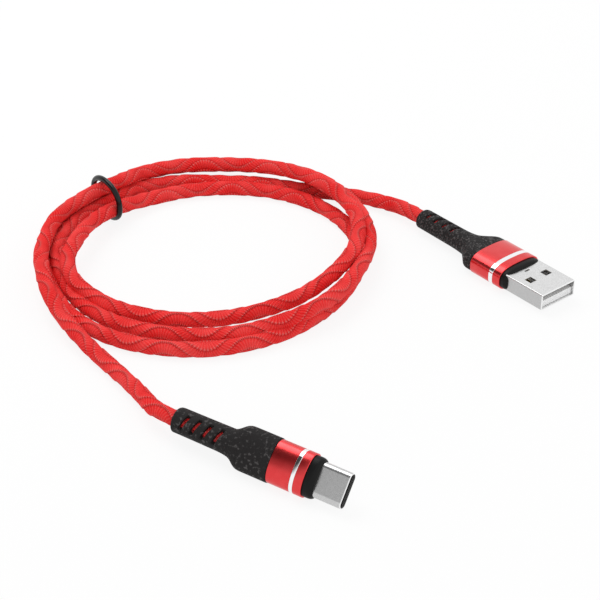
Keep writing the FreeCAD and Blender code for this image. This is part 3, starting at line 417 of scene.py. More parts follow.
def changes(knots, column, level):
    # how fast a column changes at each knot; a level one rests at its crests, so that it never dips
    rates = [(b[column] - a[column]) / (b[0] - a[0]) for a, b in zip(knots, knots[1:])]
    endShare = 0.0 if level else route["endShare"]
    found = [rates[0] * endShare]
    for index in range(1, len(rates)):
        before, after = rates[index - 1], rates[index]
        if level:
            found.append(0.0 if before * after <= 0 else 2 * before * after / (before + after))
        else:
            near = knots[index][0] - knots[index - 1][0]
            far = knots[index + 1][0] - knots[index][0]
            found.append((before * far + after * near) / (near + far))
    return found + [rates[-1] * endShare]


def between(knots, slopes, index, column, at):
    # the smooth value of a column between a knot and the next
    a, b = knots[index], knots[index + 1]
    span = b[0] - a[0]
    t = (at - a[0]) / span
    return ((2 * t ** 3 - 3 * t ** 2 + 1) * a[column] + (t ** 3 - 2 * t ** 2 + t) * span * slopes[index]
            + (3 * t ** 2 - 2 * t ** 3) * b[column] + (t ** 3 - t ** 2) * span * slopes[index + 1])


def coilPoints():
    # evenly spaced in angle; a little outside the turn, because the spline cuts its corners
    knots = coilKnots()
    distances, heights = changes(knots, 1, False), changes(knots, 2, True)
    ways = []
    for index in (0, -1):
        angle, distance = knots[index][:2]
        out = Vector((math.cos(angle), math.sin(angle), 0))
        along = Vector((-out.y, out.x, 0))
        ways.append(-(out * distances[index] + along * distance).normalized())
    count = round((knots[0][0] - knots[-1][0]) / (2 * math.pi) * route["perTurn"])
    step = (knots[0][0] - knots[-1][0]) / count
    points = []
    for index in range(count + 1):
        angle = knots[0][0] - step * index
        span = next((i for i in range(len(knots) - 1) if angle >= knots[i + 1][0]), len(knots) - 2)
        distance = between(knots, distances, span, 1, angle) / math.cos(step / 2)
        height = between(knots, heights, span, 2, angle)
        points.append(onTurn(angle, distance, height))
    points[0], points[-1] = onTurn(*knots[0]), onTurn(*knots[-1])
    return points, ways


def splineThrough(points):
    # the smooth line of a NURBS spline with these control points
    curve = bpy.data.curves.new("cableRoute", "CURVE")
    curve.dimensions = "3D"
    curve.resolution_u = route["resolution"]
    spline = curve.splines.new("NURBS")
    spline.points.add(len(points) - 1)
    for point, place in zip(spline.points, points):
        point.co = (*place, 1.0)
    spline.order_u = route["order"]
    spline.use_endpoint_u = True
    holder = bpy.data.objects.new("cableRoute", curve)
    bpy.context.scene.collection.objects.link(holder)
    bpy.context.view_layer.update()
    line = bpy.data.meshes.new_from_object(holder.evaluated_get(bpy.context.evaluated_depsgraph_get()))
    places = [each.co.copy() for each in line.vertices]
    bpy.data.objects.remove(holder)
    bpy.data.meshes.remove(line)
    return places


def cableLine():
    # the whole line, and where the coil starts and ends on it
    phoneEnd, chargerEnd = Vector(plugs["phone"]["place"]), Vector(plugs["charger"]["place"])
    phoneAhead, chargerAhead = ahead(plugs["phone"]["heading"]), ahead(plugs["charger"]["heading"])
    turns, (startWay, endWay) = coilPoints()
    lead = route["coilLead"] + route["diameter"]
    points = [phoneEnd + phoneAhead * route["inBoot"], phoneEnd - phoneAhead * route["bootLead"]]
    points += [fromCoil(*each) for each in phoneTail] + [turns[0] - startWay * lead] + turns
    points += [turns[-1] + endWay * lead] + [fromCoil(*each) for each in chargerTail]
    points += [chargerEnd - chargerAhead * route["bootLead"], chargerEnd + chargerAhead * route["inBoot"]]
    line = splineThrough(points)
    marks = [turns[0] - startWay * route["diameter"], turns[-1] + endWay * route["diameter"]]
    cuts = [min(range(len(line)), key=lambda i: (line[i] - mark).length) for mark in marks]
    return line, cuts


def lengthOf(line):
    return sum((b - a).length for a, b in zip(line, line[1:]))


# The woven jacket

jacket = {
    "thickness": 0.00372, "ringStep": 0.00055, "sides": 40, "ribs": 4, "ribHeight": 0.00021,
    "ribSwing": math.radians(75), "ribPitch": 0.020,
    # the share of a rib's width that its steep side takes
    "ribSteep": 0.12,
    # a corner this much below its face's middle turn belongs to the start of the next round
    "nextRound": 0.25,
}
bootJacket = {"thickness": 0.00368, "ribHeight": 0.0001}


def jacketTree():
    # sweeps a ribbed ring along the path, and turns it to and fro so that the ribs run in waves
    shape = Shaper("wovenJacket")
    thickness = shape.ask("Thickness", "Float", jacket["thickness"])
    ringStep = shape.ask("Ring Step", "Float", jacket["ringStep"])
    sides = shape.ask("Sides", "Int", jacket["sides"])
    ribs = shape.ask("Ribs", "Int", jacket["ribs"])
    ribHeight = shape.ask("Rib Height", "Float", jacket["ribHeight"])
    ribSwing = shape.ask("Rib Swing", "Float", jacket["ribSwing"])
    ribPitch = shape.ask("Rib Pitch", "Float", jacket["ribPitch"])
    start = shape.ask("Start", "Float", 0.0)
    material = shape.ask("Material", "Material")

    path = shape.put("GeometryNodeMeshToCurve", {}, {"Mesh": shape.geometry})
    path = shape.put("GeometryNodeResampleCurve", {"mode": "LENGTH"}, {"Curve": path, "Length": ringStep})
    path = shape.put("GeometryNodeSetCurveNormal", {"mode": "Z_UP"}, {"Curve": path})
    along = (shape.put("GeometryNodeSplineParameter").other("Length") + start) / ribPitch
    path = shape.put("GeometryNodeCaptureAttribute", {"captured": "along"},
                     {"Geometry": path, "along": along})
    kept = path.other("along")
    path = shape.put("GeometryNodeSetCurveTilt", {}, {
        "Curve": path, "Tilt": (kept * (2 * math.pi)).sine() * ribSwing})

    ring = shape.put("GeometryNodeCurvePrimitiveCircle", {"mode": "RADIUS"},
                     {"Resolution": sides, "Radius": thickness / 2})
    turn = shape.put("GeometryNodeSplineParameter").other("Factor")
    ring = shape.put("GeometryNodeCaptureAttribute", {"captured": "turn"},
                     {"Geometry": ring, "turn": turn})
    keptTurn = ring.other("turn")
    across = (keptTurn * ribs).fraction()
    lap = (across / jacket["ribSteep"]).least((1 - across) / (1 - jacket["ribSteep"]))
    lap = lap * lap * (3 - 2 * lap)
    swell = lap * ribHeight / (thickness / 2)
    ring = shape.put("GeometryNodeSetPosition", {}, {
        "Geometry": ring, "Offset": shape.put("GeometryNodeInputPosition") * swell})
    tube = shape.put("GeometryNodeCurveToMesh", {}, {"Curve": path, "Profile Curve": ring,
                                                     "Fill Caps": True})
    # on the faces that close the ring, the turn goes on to 1 and doesn't fall back to 0
    average = shape.put("GeometryNodeFieldOnDomain", {"domain": "FACE"}, {0: keptTurn})
    whole = keptTurn + (average - keptTurn).above(jacket["nextRound"])
    tube = shape.put("GeometryNodeStoreNamedAttribute", {"data_type": "FLOAT2", "domain": "CORNER"}, {
        "Geometry": tube, "Name": "weave", "Value": shape.vector(kept, whole, 0.0)})
    tube = shape.put("GeometryNodeSetShadeSmooth", {}, {"Geometry": tube, "Shade Smooth": True})
    shape.close(tube, material)
    return shape


weave = {
    "thread": 0.00060, "fibre": 0.00021, "fibreLean": 60.0, "bump": 0.00020, "specular": 0.09,
    "roughness": 0.60, "threadRoughness": 0.12,
    # bright is a painted highlight on the threads' tops, also mixed in by the random tone; dull is both a
    # random darker tone and painted shade in the threads' troughs
    "dull": (0.80, 0.005, 0.006), "plain": (0.97, 0.026, 0.026), "bright": (1.0, 0.128, 0.120),
    # seam is painted shade, for the groove along each seam
    "seam": (0.66, 0.004, 0.006), "stitch": (1.0, 0.23, 0.21),
    # noise: how fine it is, and how far it pushes the threads or where it turns from dull to plain
    "wanderScale": 700.0, "wander": 2.0, "toneScale": 130.0, "toneRange": (0.3, 0.7),
    # places across a panel, from one seam at 0 to the next at 1
    "lapEnd": 0.16, "nextSeam": 0.93, "nearEnd": (0.10, 0.42), "farStart": 0.45,
    "stitchIn": (0.05, 0.12), "stitchOut": (0.13, 0.22),
    # how deep the threads are in the middle of a panel, and how much more at its near and far side
    "teeth": 0.35, "nearTeeth": 0.65, "farTeeth": 0.35,
    # how much of each colour is mixed in
    "toneShare": 0.5, "threadShare": 0.5, "brightThread": 0.8, "brightTone": 0.3,
    "farShare": 0.40, "seamShare": 0.60, "seamThread": 0.5, "stitchShare": 0.70,
    # heights against a thread's
    "fibreHeight": 0.18, "stitchHeight": 0.6, "seamDepth": 0.8,
}


def wave(angle):
    # a sine between 0 and 1
    return angle.sine() * 0.5 + 0.5


def weaveRed():
    finish = Finish("weaveRed", Specular_IOR_Level=weave["specular"])
    place = finish.put("ShaderNodeUVMap", {"uv_map": "weave"})
    along, turn = place.part("X"), place.part("Y")
    across = (turn * jacket["ribs"]).fraction()
    # threads run square to the waving seam
    steepest = jacket["ribSwing"] * 2 * math.pi / jacket["ribPitch"] * jacket["thickness"] / 2
    slope = (along * (2 * math.pi)).cosine() * steepest
    panel = math.pi * jacket["thickness"] / jacket["ribs"]
    reach = along * jacket["ribPitch"] + slope * (across - 0.5) * panel
    wander = finish.noise(finish.place(), weave["wanderScale"])
    thread = wave(reach * (2 * math.pi / weave["thread"]) + wander * weave["wander"])
    fibre = wave(reach * (2 * math.pi / weave["fibre"]) + across * weave["fibreLean"])
    lap = across.ramp(0.0, weave["lapEnd"])
    far = across.ramp(weave["farStart"], 1.0)
    near = 1 - across.ramp(*weave["nearEnd"])
    teeth = weave["teeth"] + near * weave["nearTeeth"] + far * weave["farTeeth"]
    seam = 1 - lap * (1 - across.ramp(weave["nextSeam"], 1.0))
    stitch = across.ramp(*weave["stitchIn"]) * (1 - across.ramp(*weave["stitchOut"]))
    tone = finish.noise(finish.place(), weave["toneScale"], detail=3.0).ramp(*weave["toneRange"])
    # random tone, and each thread painted lighter on its top and darker in its trough: painted highlight
    # and painted shade of the threads' relief
    plain = tone * weave["toneShare"] + thread * teeth * weave["threadShare"]
    bright = (thread * teeth * weave["brightThread"] + tone * weave["brightTone"]).least(1.0)
    red = finish.mix(plain, weave["dull"], weave["plain"])
    red = finish.mix(bright, red, weave["bright"])
    # painted shade over the far side of each panel and in the groove along its seam
    red = finish.mix(far * weave["farShare"], red, weave["dull"])
    red = finish.mix(seam * (1 - thread * weave["seamThread"]) * weave["seamShare"], red, weave["seam"])
    red = finish.mix(stitch * thread * weave["stitchShare"], red, weave["stitch"])
    height = (thread * teeth + fibre * weave["fibreHeight"] + stitch * thread * weave["stitchHeight"]
              - seam * weave["seamDepth"])
    finish.paint(Base_Color=red, Roughness=weave["roughness"] + thread * weave["threadRoughness"],
                 Normal=finish.bump(height, weave["bump"]))
    return finish.material


def buildJackets():
    line, (first, last) = cableLine()
    tree = jacketTree()
    material = weaveRed()
    start = 0.0
    pieces = {}
    for name, places in (("jacketPhoneTail", line[:first + 1]), ("jacketCoil", line[first:last + 1]),
                         ("jacketChargerTail", line[last:])):
        piece = newPiece(name, places, [(i, i + 1) for i in range(len(places) - 1)])
        tree.grow(piece, **dict(jacket, start=start, material=material))
        pieces[name] = (piece, places)
        start += lengthOf(places)
        print(name, "length", round(lengthOf(places), 4), "faces", len(piece.data.polygons))
    for name, which in (("jacketInPhoneBoot", "phone"), ("jacketInChargerBoot", "charger")):
        plug = plugs[which]
        ends = (route["inBoot"], plug["cableEnd"])
        places = [Vector(plug["place"]) + ahead(plug["heading"]) * each for each in ends]
        piece = newPiece(name, places, [(0, 1)])
        tree.grow(piece, **{**jacket, **bootJacket, "start": 0.0, "material": material})
        pieces[name] = (piece, places)
    return pieces


def declareCords(pieces):
    # the free stretches stay where they are built; the coil goes with the cable, and the jacket in each
    # boot with its plug
    tail, places = pieces["jacketPhoneTail"]
    fromCoil(-0.0306, -0.0438, 0)
    fromCoil(-0.007, -0.077, 0)
    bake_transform(tail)
    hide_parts("cable_tail_c")
    lengthOf(places)
    coil, places = pieces["jacketCoil"]
    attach(coil, "cable")
    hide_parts("cable_coil")
    lengthOf(places)
    tail, places = pieces["jacketChargerTail"]
    fromCoil(0.036, 0.0315, 0)
    fromCoil(0.056, 0.0168, 0)
    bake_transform(tail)
    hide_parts("cable_tail_a")
    lengthOf(places)
    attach(pieces["jacketInPhoneBoot"][0], "phone_plug")
    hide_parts("usb_c_cable_end")
    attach(pieces["jacketInChargerBoot"][0], "charger_plug")
    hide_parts("usb_a_cable_end")


declareCords(buildJackets())
print("cable ready")


# The rubber ring round the coil

def crowned(width, height, crown, turn):
    # a point of an oval that gets squarer as its crown grows
    c, s = math.cos(turn), math.sin(turn)
    reach = (abs(c) ** crown + abs(s) ** crown) ** (-1 / crown)
    return width / 2 * c * reach, height / 2 * s * reach


sharpEdge = math.radians(35)


def skin(piece, mesh):
    # takes a bmesh over into a piece, faces outwards, smooth but for its edges
    bmesh.ops.recalc_face_normals(mesh, faces=mesh.faces)
    mesh.to_mesh(piece.data)
    mesh.free()
    piece.data.shade_smooth()
    piece.data.set_sharp_from_angle(angle=sharpEdge)


def joinRings(mesh, rings):
    # quads from each ring to the next, and from the last to the first
    sides = len(rings[0])
    for ring, after in zip(rings, rings[1:] + rings[:1]):
        for i in range(sides):
            j = (i + 1) % sides
            mesh.faces.new((ring[i], ring[j], after[j], after[i]))


def buildTie(material):
    across = ahead(tieRing["heading"] + 90)
    along = Vector((across.y, -across.x, 0))

    def onLoop(turn):
        out, up = crowned(tieRing["width"], tieRing["tall"], tieRing["crown"], turn)
        return ringMiddle() + across * out + Vector((0, 0, up))

    mesh = bmesh.new()
    rings = []
    for step in range(tieRing["steps"]):
        turn = 2 * math.pi * step / tieRing["steps"]
        centre = onLoop(turn)
        side = (onLoop(turn + tieRing["lookAhead"]) - centre).normalized().cross(along)
        ring = []
        for index in range(tieRing["sides"]):
            angle = 2 * math.pi * index / tieRing["sides"]
            out = along * math.cos(angle) + side * math.sin(angle)
            ring.append(mesh.verts.new(centre + out * (tieRing["thickness"] / 2)))
        rings.append(ring)
    joinRings(mesh, rings)
    piece = newPiece("rubberRing")
    skin(piece, mesh)
    piece.data.materials.append(material)
    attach(piece, "tie")
    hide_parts("coil_tie")


# The plugs: every piece is a ring of oval sections, placed along its plug

boot = {
    "slots": 4, "slotFirst": 0.0041, "slotPitch": 0.00315, "slotWidth": 0.0010, "margin": 0.00075,
    "slant": 0.40, "lip": 0.00025, "sides": 64, "slotFrom": 9, "slotTo": 23,
    "start": 0.0006, "edge": 0.00045, "edgeMiddle": 0.00015, "plainPlace": 0.0017, "slantStart": 0.0026,
    "bore": 0.00395, "chamber": 0.0050, "boreCrown": 2.0, "growth": 0.0002, "tailCrown": 2.1,
    "collarRings": 14, "neckGap": 0.0004, "endGap": 0.0003,
}
metalwork = {
    "sides": 128, "wall": 0.0005, "edge": 0.00015, "edgeSteps": 5, "fit": 0.00002,
    "ringDepth": 0.0002, "ringProud": 0.00004,
    "bezelStep": 0.00035, "bezelReach": 0.0013, "bezelRound": 0.0007, "bezelSteps": 8,
    "mouldWall": 0.0010, "wireHole": (0.0046, 0.0026), "holeCrown": 12.0,
}


def lengths(plug):
    # how far from the cable's side each part of a plug ends
    straight = (boot["slotFirst"] + boot["slotPitch"] * (boot["slots"] - 1) + boot["slotWidth"] / 2
                + boot["margin"])
    neck = straight + plug["flare"]
    shoulder = neck + plug["shoulder"]
    end = shoulder + plug["collar"]
    return {"straight": straight, "neck": neck, "shoulder": shoulder, "boot": end,
            "sleeve": end + plug["sleeve"], "bezel": end + plug["sleeve"] + plug["bezel"]}


def onPlug(plug):
    return (Matrix.Translation(plug["place"]) @ Matrix.Rotation(math.radians(plug["heading"]), 4, "Z")
            @ Matrix.Rotation(math.radians(plug["roll"]), 4, "X"))


def ringAt(mesh, x, width, height, crown, sides):
    places = (crowned(width, height, crown, 2 * math.pi * i / sides) for i in range(sides))
    return [mesh.verts.new((x, y, z)) for y, z in places]


def roundedStart(x, inset, reach):
    # the sections of a rounded edge, as pairs of x and inset
    steps = metalwork["edgeSteps"]
    arc = [math.pi / 2 * k / steps for k in range(steps + 1)]
    return [(x + reach * (1 - math.cos(a)), inset + reach * (1 - math.sin(a))) for a in arc]


def roundedEnd(x, inset, reach, depth, steps):
    arc = [math.pi / 2 * k / steps for k in range(steps + 1)]
    return [(x - reach * (1 - math.sin(a)), inset + depth * (1 - math.cos(a))) for a in arc]


def addPlugPiece(name, plug, mesh, part, material):
    piece = newPiece(name)
    mesh.transform(onPlug(plug))
    skin(piece, mesh)
    piece.data.materials.append(material)
    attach(piece, plug["body"])
    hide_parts(plug["node"] + part)
    return piece


def sweepRings(plug, sections):
    # sections are pairs of x and inset from the sleeve, or whole ovals
    mesh = bmesh.new()
    rings = []
    for section in sections:
        if len(section) == 2:
            x, inset = section
            section = (x, plug["width"] - 2 * inset, plug["height"] - 2 * inset, plug["crown"])
        rings.append(ringAt(mesh, *section, metalwork["sides"]))
    joinRings(mesh, rings)
    return mesh


def buildSleeve(which, plug, material):
    at = lengths(plug)
    edge, wall, depth = metalwork["edge"], metalwork["wall"], metalwork["ringDepth"]
    start, end = at["boot"], at["sleeve"]
    ringStart = start + plug["ringStart"]
    ringEnd = ringStart + plug["ringWidth"]
    sections = roundedStart(start, 0, edge)
    sections += [(ringStart, 0), (ringStart, depth), (ringEnd, depth), (ringEnd, 0)]
    sections += roundedEnd(end, 0, edge, edge, metalwork["edgeSteps"]) + [(end, wall), (start, wall)]
    addPlugPiece(which + "Sleeve", plug, sweepRings(plug, sections), "sleeve", material)


def buildTrimRing(which, plug, material):
    start = lengths(plug)["boot"] + plug["ringStart"] + metalwork["fit"]
    end = start + plug["ringWidth"] - 2 * metalwork["fit"]
    proud, depth = metalwork["ringProud"], metalwork["ringDepth"] - metalwork["fit"]
    edge = metalwork["edge"] / 2
    sections = roundedStart(start, -proud, edge)
    sections += roundedEnd(end, -proud, edge, edge, metalwork["edgeSteps"]) + [(end, depth), (start, depth)]
    addPlugPiece(which + "TrimRing", plug, sweepRings(plug, sections), "trim_ring", material)


def buildBezel(which, plug, material):
    at = lengths(plug)
    start, end, step = at["sleeve"], at["bezel"], metalwork["bezelStep"]
    sections = [(start, step)] + roundedEnd(end, step, metalwork["bezelReach"], metalwork["bezelRound"],
                                            metalwork["bezelSteps"])
    sections += [(end, *plug["shell"]), (start, *plug["shell"])]
    addPlugPiece(which + "Bezel", plug, sweepRings(plug, sections), "bezel", material)


def buildCore(which, plug, material):
    # the moulded core in the sleeve, with seats for the shell and the board
    at = lengths(plug)
    start, end, inset = at["boot"], at["sleeve"], metalwork["wall"] + metalwork["fit"]
    seat, wall = at["bezel"] - plug["shellSeat"], start + metalwork["mouldWall"]
    board = (*plug["board"], metalwork["holeCrown"])
    wireHole = (*metalwork["wireHole"], metalwork["holeCrown"])
    sections = [(start, inset), (end, inset), (end, *plug["shell"]), (seat, *plug["shell"]),
                (seat, *board), (wall, *board), (wall, *wireHole), (start, *wireHole)]
    addPlugPiece(which + "Core", plug, sweepRings(plug, sections), "inner_mould", material)


def bootSections(plug):
    # width, height and crown of the boot along the plug
    at = lengths(plug)
    tailWidth, tailHeight = plug["tail"]
    width, height = (plug[each] + 2 * plug["bootStep"] for each in ("width", "height"))
    growth, tailCrown, crown = boot["growth"], boot["tailCrown"], plug["crown"]
    return [(0.0, tailWidth, tailHeight, tailCrown),
            (at["straight"], tailWidth + growth, tailHeight + growth, tailCrown),
            (at["neck"], plug["neck"], (2 * tailHeight + height) / 3, tailCrown),
            ((at["neck"] + at["shoulder"]) / 2, (plug["neck"] + width) / 2,
             (tailHeight + 2 * height) / 3, (tailCrown + crown) / 2),
            (at["shoulder"], width, height, crown), (at["boot"], width, height, crown)]


def bootPlaces(plug):
    # where the boot's rings are, and which gaps between rings are slots
    at = lengths(plug)
    start = boot["start"]
    places = [start, start + boot["edgeMiddle"], start + boot["edge"], boot["plainPlace"],
              boot["slantStart"]]
    slots = []
    for index in range(boot["slots"]):
        middle = boot["slotFirst"] + boot["slotPitch"] * index
        low, high = middle - boot["slotWidth"] / 2, middle + boot["slotWidth"] / 2
        slots += [len(places) + 1, len(places) + 2]
        places += [low - boot["lip"], low, middle, high, high + boot["lip"]]
        if index < boot["slots"] - 1:
            places.append(middle + boot["slotPitch"] / 2)
    first, last = at["straight"] + boot["neckGap"], at["boot"] - boot["endGap"]
    steps = boot["collarRings"] - 1
    places += [first + (last - first) * k / steps for k in range(steps + 1)]
    return places + [at["boot"]], slots


def bootRings(plug, mesh, places):
    # the boot's rings outside, and those of its bore
    knots = bootSections(plug)
    rates = [changes(knots, column, True) for column in (1, 2, 3)]
    outer, inner = [], []
    for x in places:
        span = next((i for i in range(len(knots) - 1) if x <= knots[i + 1][0]), len(knots) - 2)
        width, height, crown = (between(knots, rates[c - 1], span, c, x) for c in (1, 2, 3))
        inset = max(0.0, 1 - (x - boot["start"]) / boot["edge"]) ** 2 * boot["edge"]
        outer.append(ringAt(mesh, x, width - 2 * inset, height - 2 * inset, crown, boot["sides"]))
        bore = boot["bore"] if x < lengths(plug)["neck"] else boot["chamber"]
        inner.append(ringAt(mesh, x, bore, bore, boot["boreCrown"], boot["sides"]))
    return outer, inner


def joinBoot(mesh, outer, inner, slots):
    # faces outside and inside, left open at the slots and walled round them and at both ends
    sides = boot["sides"]
    half = sides // 2
    openSides = {i + turn for i in range(boot["slotFrom"], boot["slotTo"]) for turn in (0, half)}

    def isOpen(k, i):
        return k in slots and i % sides in openSides

    def wall(a, b):
        mesh.faces.new((outer[a[0]][a[1]], outer[b[0]][b[1]], inner[b[0]][b[1]], inner[a[0]][a[1]]))

    for k in range(len(outer) - 1):
        for i in range(sides):
            j = (i + 1) % sides
            if not isOpen(k, i):
                for grid in (outer, inner):
                    mesh.faces.new((grid[k][i], grid[k][j], grid[k + 1][j], grid[k + 1][i]))
                continue
            corners = ((k, i), (k, j), (k + 1, j), (k + 1, i))
            neighbours = ((k - 1, i), (k, i + 1), (k + 1, i), (k, i - 1))
            for index, neighbour in enumerate(neighbours):
                if not isOpen(*neighbour):
                    wall(corners[index], corners[(index + 1) % 4])
    for k in (0, -1):
        for i in range(sides):
            wall((k, i), (k, (i + 1) % sides))


def slantSlots(mesh, at):
    # the slots lie aslant, which turns the neck's rings a little and leaves both ends square
    start, lead = boot["start"], boot["slantStart"] - boot["start"]
    for vertex in mesh.verts:
        x = vertex.co.x
        fading = max(0.0, (at["neck"] - x) / (at["neck"] - at["straight"]))
        share = min(1.0, (x - start) / lead, fading)
        vertex.co.x = x + vertex.co.y * boot["slant"] * share * share * (3 - 2 * share)


def buildBoot(which, plug, material):
    mesh = bmesh.new()
    places, slots = bootPlaces(plug)
    outer, inner = bootRings(plug, mesh, places)
    joinBoot(mesh, outer, inner, slots)
    slantSlots(mesh, lengths(plug))
    piece = addPlugPiece(which + "Boot", plug, mesh, "boot", material)
    smooth = piece.modifiers.new("smooth", "SUBSURF")
    smooth.levels = smooth.render_levels = 1


# Finishes

def onPlugPlace(finish, plug):
    # where a point is along, across and up its plug, in metres
    return finish.put("ShaderNodeMapping", {"vector_type": "TEXTURE"}, {
        "Vector": finish.place(), "Location": Vector(plug["place"]),
        "Rotation": (math.radians(plug["roll"]), 0.0, math.radians(plug["heading"]))})


def grey(level):
    return (level, level, level)


bootRubber = {
    "specular": 0.12, "roughness": 0.70, "fleckGloss": 0.2, "streakRoughness": 0.55,
    "dark": (0.012, 0.011, 0.011), "plain": (0.026, 0.024, 0.024), "fleck": (0.105, 0.098, 0.098),
    "fleckShare": 0.75, "grainScale": 5200.0, "bump": 0.00012, "bumpStrength": 0.8,
    "streakHeight": 1.4, "grainHeight": 0.3,
}


def mouldedRubber(which, plug):
    finish = Finish(which + "BootRubber", Specular_IOR_Level=bootRubber["specular"])
    place = onPlugPlace(finish, plug)
    streak = finish.noise(place, plug["fleckSize"], detail=3.0, roughness=bootRubber["streakRoughness"])
    grain = finish.noise(place, bootRubber["grainScale"])
    fleck = streak.ramp(*plug["flecks"])
    black = finish.mix(grain, bootRubber["dark"], bootRubber["plain"])
    black = finish.mix(fleck * bootRubber["fleckShare"], black, bootRubber["fleck"])
    height = streak * bootRubber["streakHeight"] + grain * bootRubber["grainHeight"]
    finish.paint(Base_Color=black, Roughness=bootRubber["roughness"] - fleck * bootRubber["fleckGloss"],
                 Normal=finish.bump(height, bootRubber["bump"], bootRubber["bumpStrength"]))
    return finish.material


anodised = {
    "dark": (0.66, 0.030, 0.034), "plain": (0.80, 0.052, 0.056), "pale": (0.86, 0.085, 0.088),
    "paleShare": 0.25, "paleRange": (0.35, 0.75), "grainScale": 9000.0, "cloudScale": 500.0,
    "roughness": 0.25, "grainRoughness": 0.08, "coat": 0.35, "coatRoughness": 0.16,
    "bump": 0.000003, "bumpStrength": 0.6,
}


def anodisedRed(which, plug):
    finish = Finish(which + "Anodised", Metallic=1.0, Coat_Weight=anodised["coat"],
                    Coat_Roughness=anodised["coatRoughness"])
    place = onPlugPlace(finish, plug)
    grain = finish.noise(place, anodised["grainScale"])
    cloud = finish.noise(place, anodised["cloudScale"])
    red = finish.mix(grain, anodised["dark"], anodised["plain"])
    red = finish.mix(cloud.ramp(*anodised["paleRange"]) * anodised["paleShare"], red, anodised["pale"])
    finish.paint(Base_Color=red, Roughness=anodised["roughness"] + grain * anodised["grainRoughness"],
                 Normal=finish.bump(grain, anodised["bump"], anodised["bumpStrength"]))
    return finish.material


polish = {
    "dark": (0.88, 0.88, 0.89), "bright": (0.96, 0.96, 0.97), "scale": 3000.0,
    "roughness": 0.07, "turnedRoughness": 0.06,
}


def polishedRing():
    finish = Finish("polishedRing", Metallic=1.0)
    turned = finish.noise(finish.place(), polish["scale"])
    finish.paint(Base_Color=finish.mix(turned, polish["dark"], polish["bright"]),
                 Roughness=polish["roughness"] + turned * polish["turnedRoughness"])
    return finish.material


plating = {
    "charger": {"low": grey(0.62), "high": grey(0.80), "roughness": 0.26, "grain": 0.8},
    "phone": {"low": grey(0.52), "high": grey(0.64), "roughness": 0.24, "grain": 0.3},
    "speckleScale": 4200.0, "speckleFine": 0.6, "speckleRange": (0.3, 0.7), "speckleRoughness": 0.10,
    "cloudScale": 700.0, "cloudRange": (0.4, 0.8), "cloudShare": 0.3, "bump": 0.000006,
    # a painted highlight along the mouth's rim, as distances from its edge
    "rubbed": grey(0.95), "rubbedFrom": 0.00030, "rubbedTo": 0.00008, "rubbedShare": 0.8,
    "rubbedGloss": 0.1,
    # the charger plug's sides, darkened as painted shade, by their distance from its middle
    "flank": grey(0.44), "flankRange": (0.0056, 0.0060), "flankShare": 0.7,
}
# the spring pressed out of the charger plug's shell, with painted shade on one half of it and a painted
# highlight on the other
spring = {
    "fromMouth": 0.0110, "halfLength": 0.00030, "halfWidth": 0.00115, "edge": 0.80,
    "level": 0.00225, "levelRange": (0.95, 0.98), "depth": 2.0,
    "gap": grey(0.02), "gapEnd": (-0.0001, 0.0002), "gapShare": 0.9,
    "lit": grey(0.97), "litStart": (0.0001, 0.0005), "litShare": 0.8,
}


def nickel(which, plug):
    # plated sheet steel: speckled, with a painted highlight along its mouth's rim
    steel = plating[which]
    finish = Finish(which + "Nickel", Metallic=1.0)
    place = onPlugPlace(finish, plug)
    x, y, z = (place.part(axis) for axis in "XYZ")
    speckle = finish.noise(place, plating["speckleScale"], detail=3.0, roughness=plating["speckleFine"])
    cloud = finish.noise(place, plating["cloudScale"])
    metal = finish.mix(speckle.ramp(*plating["speckleRange"]), steel["low"], steel["high"])
    metal = finish.mix(cloud.ramp(*plating["cloudRange"]) * plating["cloudShare"], metal, steel["low"])
    mouth = lengths(plug)["bezel"] + plug["shellReach"]
    # a painted highlight along the mouth's rim
    rubbed = x.ramp(mouth - plating["rubbedFrom"], mouth - plating["rubbedTo"])
    metal = finish.mix(rubbed * plating["rubbedShare"], metal, plating["rubbed"])
    shine = steel["roughness"] + speckle * plating["speckleRoughness"] - rubbed * plating["rubbedGloss"]
    height = speckle
    if which == "charger":
        along = (x - (mouth - spring["fromMouth"])).size() / spring["halfLength"]
        away = along.most(y.size() / spring["halfWidth"])
        onFace = (z.size() / spring["level"]).ramp(*spring["levelRange"])
        pressed = (1 - away.ramp(spring["edge"], 1.0)) * onFace
        # painted shade on one half of the spring and a painted highlight on the other
        gap = pressed * (1 - y.ramp(*spring["gapEnd"]))
        metal = finish.mix(gap * spring["gapShare"], metal, spring["gap"])
        lit = pressed * y.ramp(*spring["litStart"])
        metal = finish.mix(lit * spring["litShare"], metal, spring["lit"])
        height = speckle - pressed * spring["depth"]
        # the sides painted darker, as painted shade
        flank = y.size().ramp(*plating["flankRange"]) * (1 - rubbed)
        metal = finish.mix(flank * plating["flankShare"], metal, plating["flank"])
    finish.paint(Base_Color=metal, Roughness=shine,
                 Normal=finish.bump(height, plating["bump"], steel["grain"]))
    return finish.material


plainFinish = {"scale": 1500.0, "darker": 0.88, "roughnessSpread": 0.08, "bump": 0.00001}


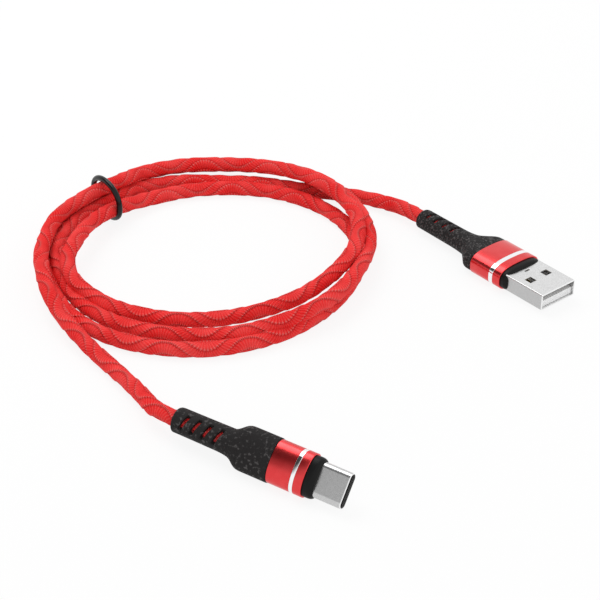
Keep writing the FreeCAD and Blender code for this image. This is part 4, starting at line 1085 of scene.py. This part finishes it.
def simple(name, colour, roughness, bumpy=False, **fixed):
    # one colour with a faint grain in its shade and gloss
    finish = Finish(name, **fixed)
    noise = finish.noise(finish.place(), plainFinish["scale"], detail=3.0)
    low = tuple(each * plainFinish["darker"] for each in colour)
    finish.paint(Base_Color=finish.mix(noise, low, colour),
                 Roughness=roughness + (noise - 0.5) * plainFinish["roughnessSpread"])
    if bumpy:
        finish.paint(Normal=finish.bump(noise, plainFinish["bump"]))
    return finish.material


slotFinish = {
    "tie_rubber": simple("tieRubber", grey(0.006), 0.20, True, Specular_IOR_Level=0.25),
    "crimp_metal": simple("crimpMetal", (0.7, 0.7, 0.72), 0.35, Metallic=1.0),
    "wire_insulation": simple("wireInsulation", (0.6, 0.08, 0.06), 0.4),
    "bright_ring": polishedRing(),
    "core_plastic": simple("corePlastic", grey(0.08), 0.5),
    "board": simple("boardGreen", (0.03, 0.25, 0.1), 0.4),
    "bezel_plastic": simple("bezelPlastic", grey(0.006), 0.42, True, Specular_IOR_Level=0.16),
    "shell_steel": nickel("charger", plugs["charger"]),
    "drawn_steel": nickel("phone", plugs["phone"]),
    "white_plastic": simple("whiteInsulator", grey(0.95), 0.40),
    "liner_plastic": simple("linerPlastic", grey(0.012), 0.4, Specular_IOR_Level=0.25),
    "contact_gold": simple("contactGold", (0.85, 0.62, 0.28), 0.25, Metallic=1.0),
    "latch_steel": simple("latchSteel", grey(0.7), 0.3, Metallic=1.0),
    "resistor_body": simple("resistorBody", grey(0.03), 0.4),
}


def dressNodes():
    for part in frame["record"]["subparts"]:
        if part["material_slot"] in slotFinish:
            materials = nodes[part["node"]].data.materials
            materials.clear()
            materials.append(slotFinish[part["material_slot"]])


dressNodes()
print("finishes ready")
buildTie(slotFinish["tie_rubber"])
print("rubber ring ready")
for which, plug in plugs.items():
    buildBoot(which, plug, mouldedRubber(which, plug))
    buildSleeve(which, plug, anodisedRed(which, plug))
    buildTrimRing(which, plug, slotFinish["bright_ring"])
    buildBezel(which, plug, slotFinish["bezel_plastic"])
    buildCore(which, plug, slotFinish["core_plastic"])
    print(which, "plug ready")
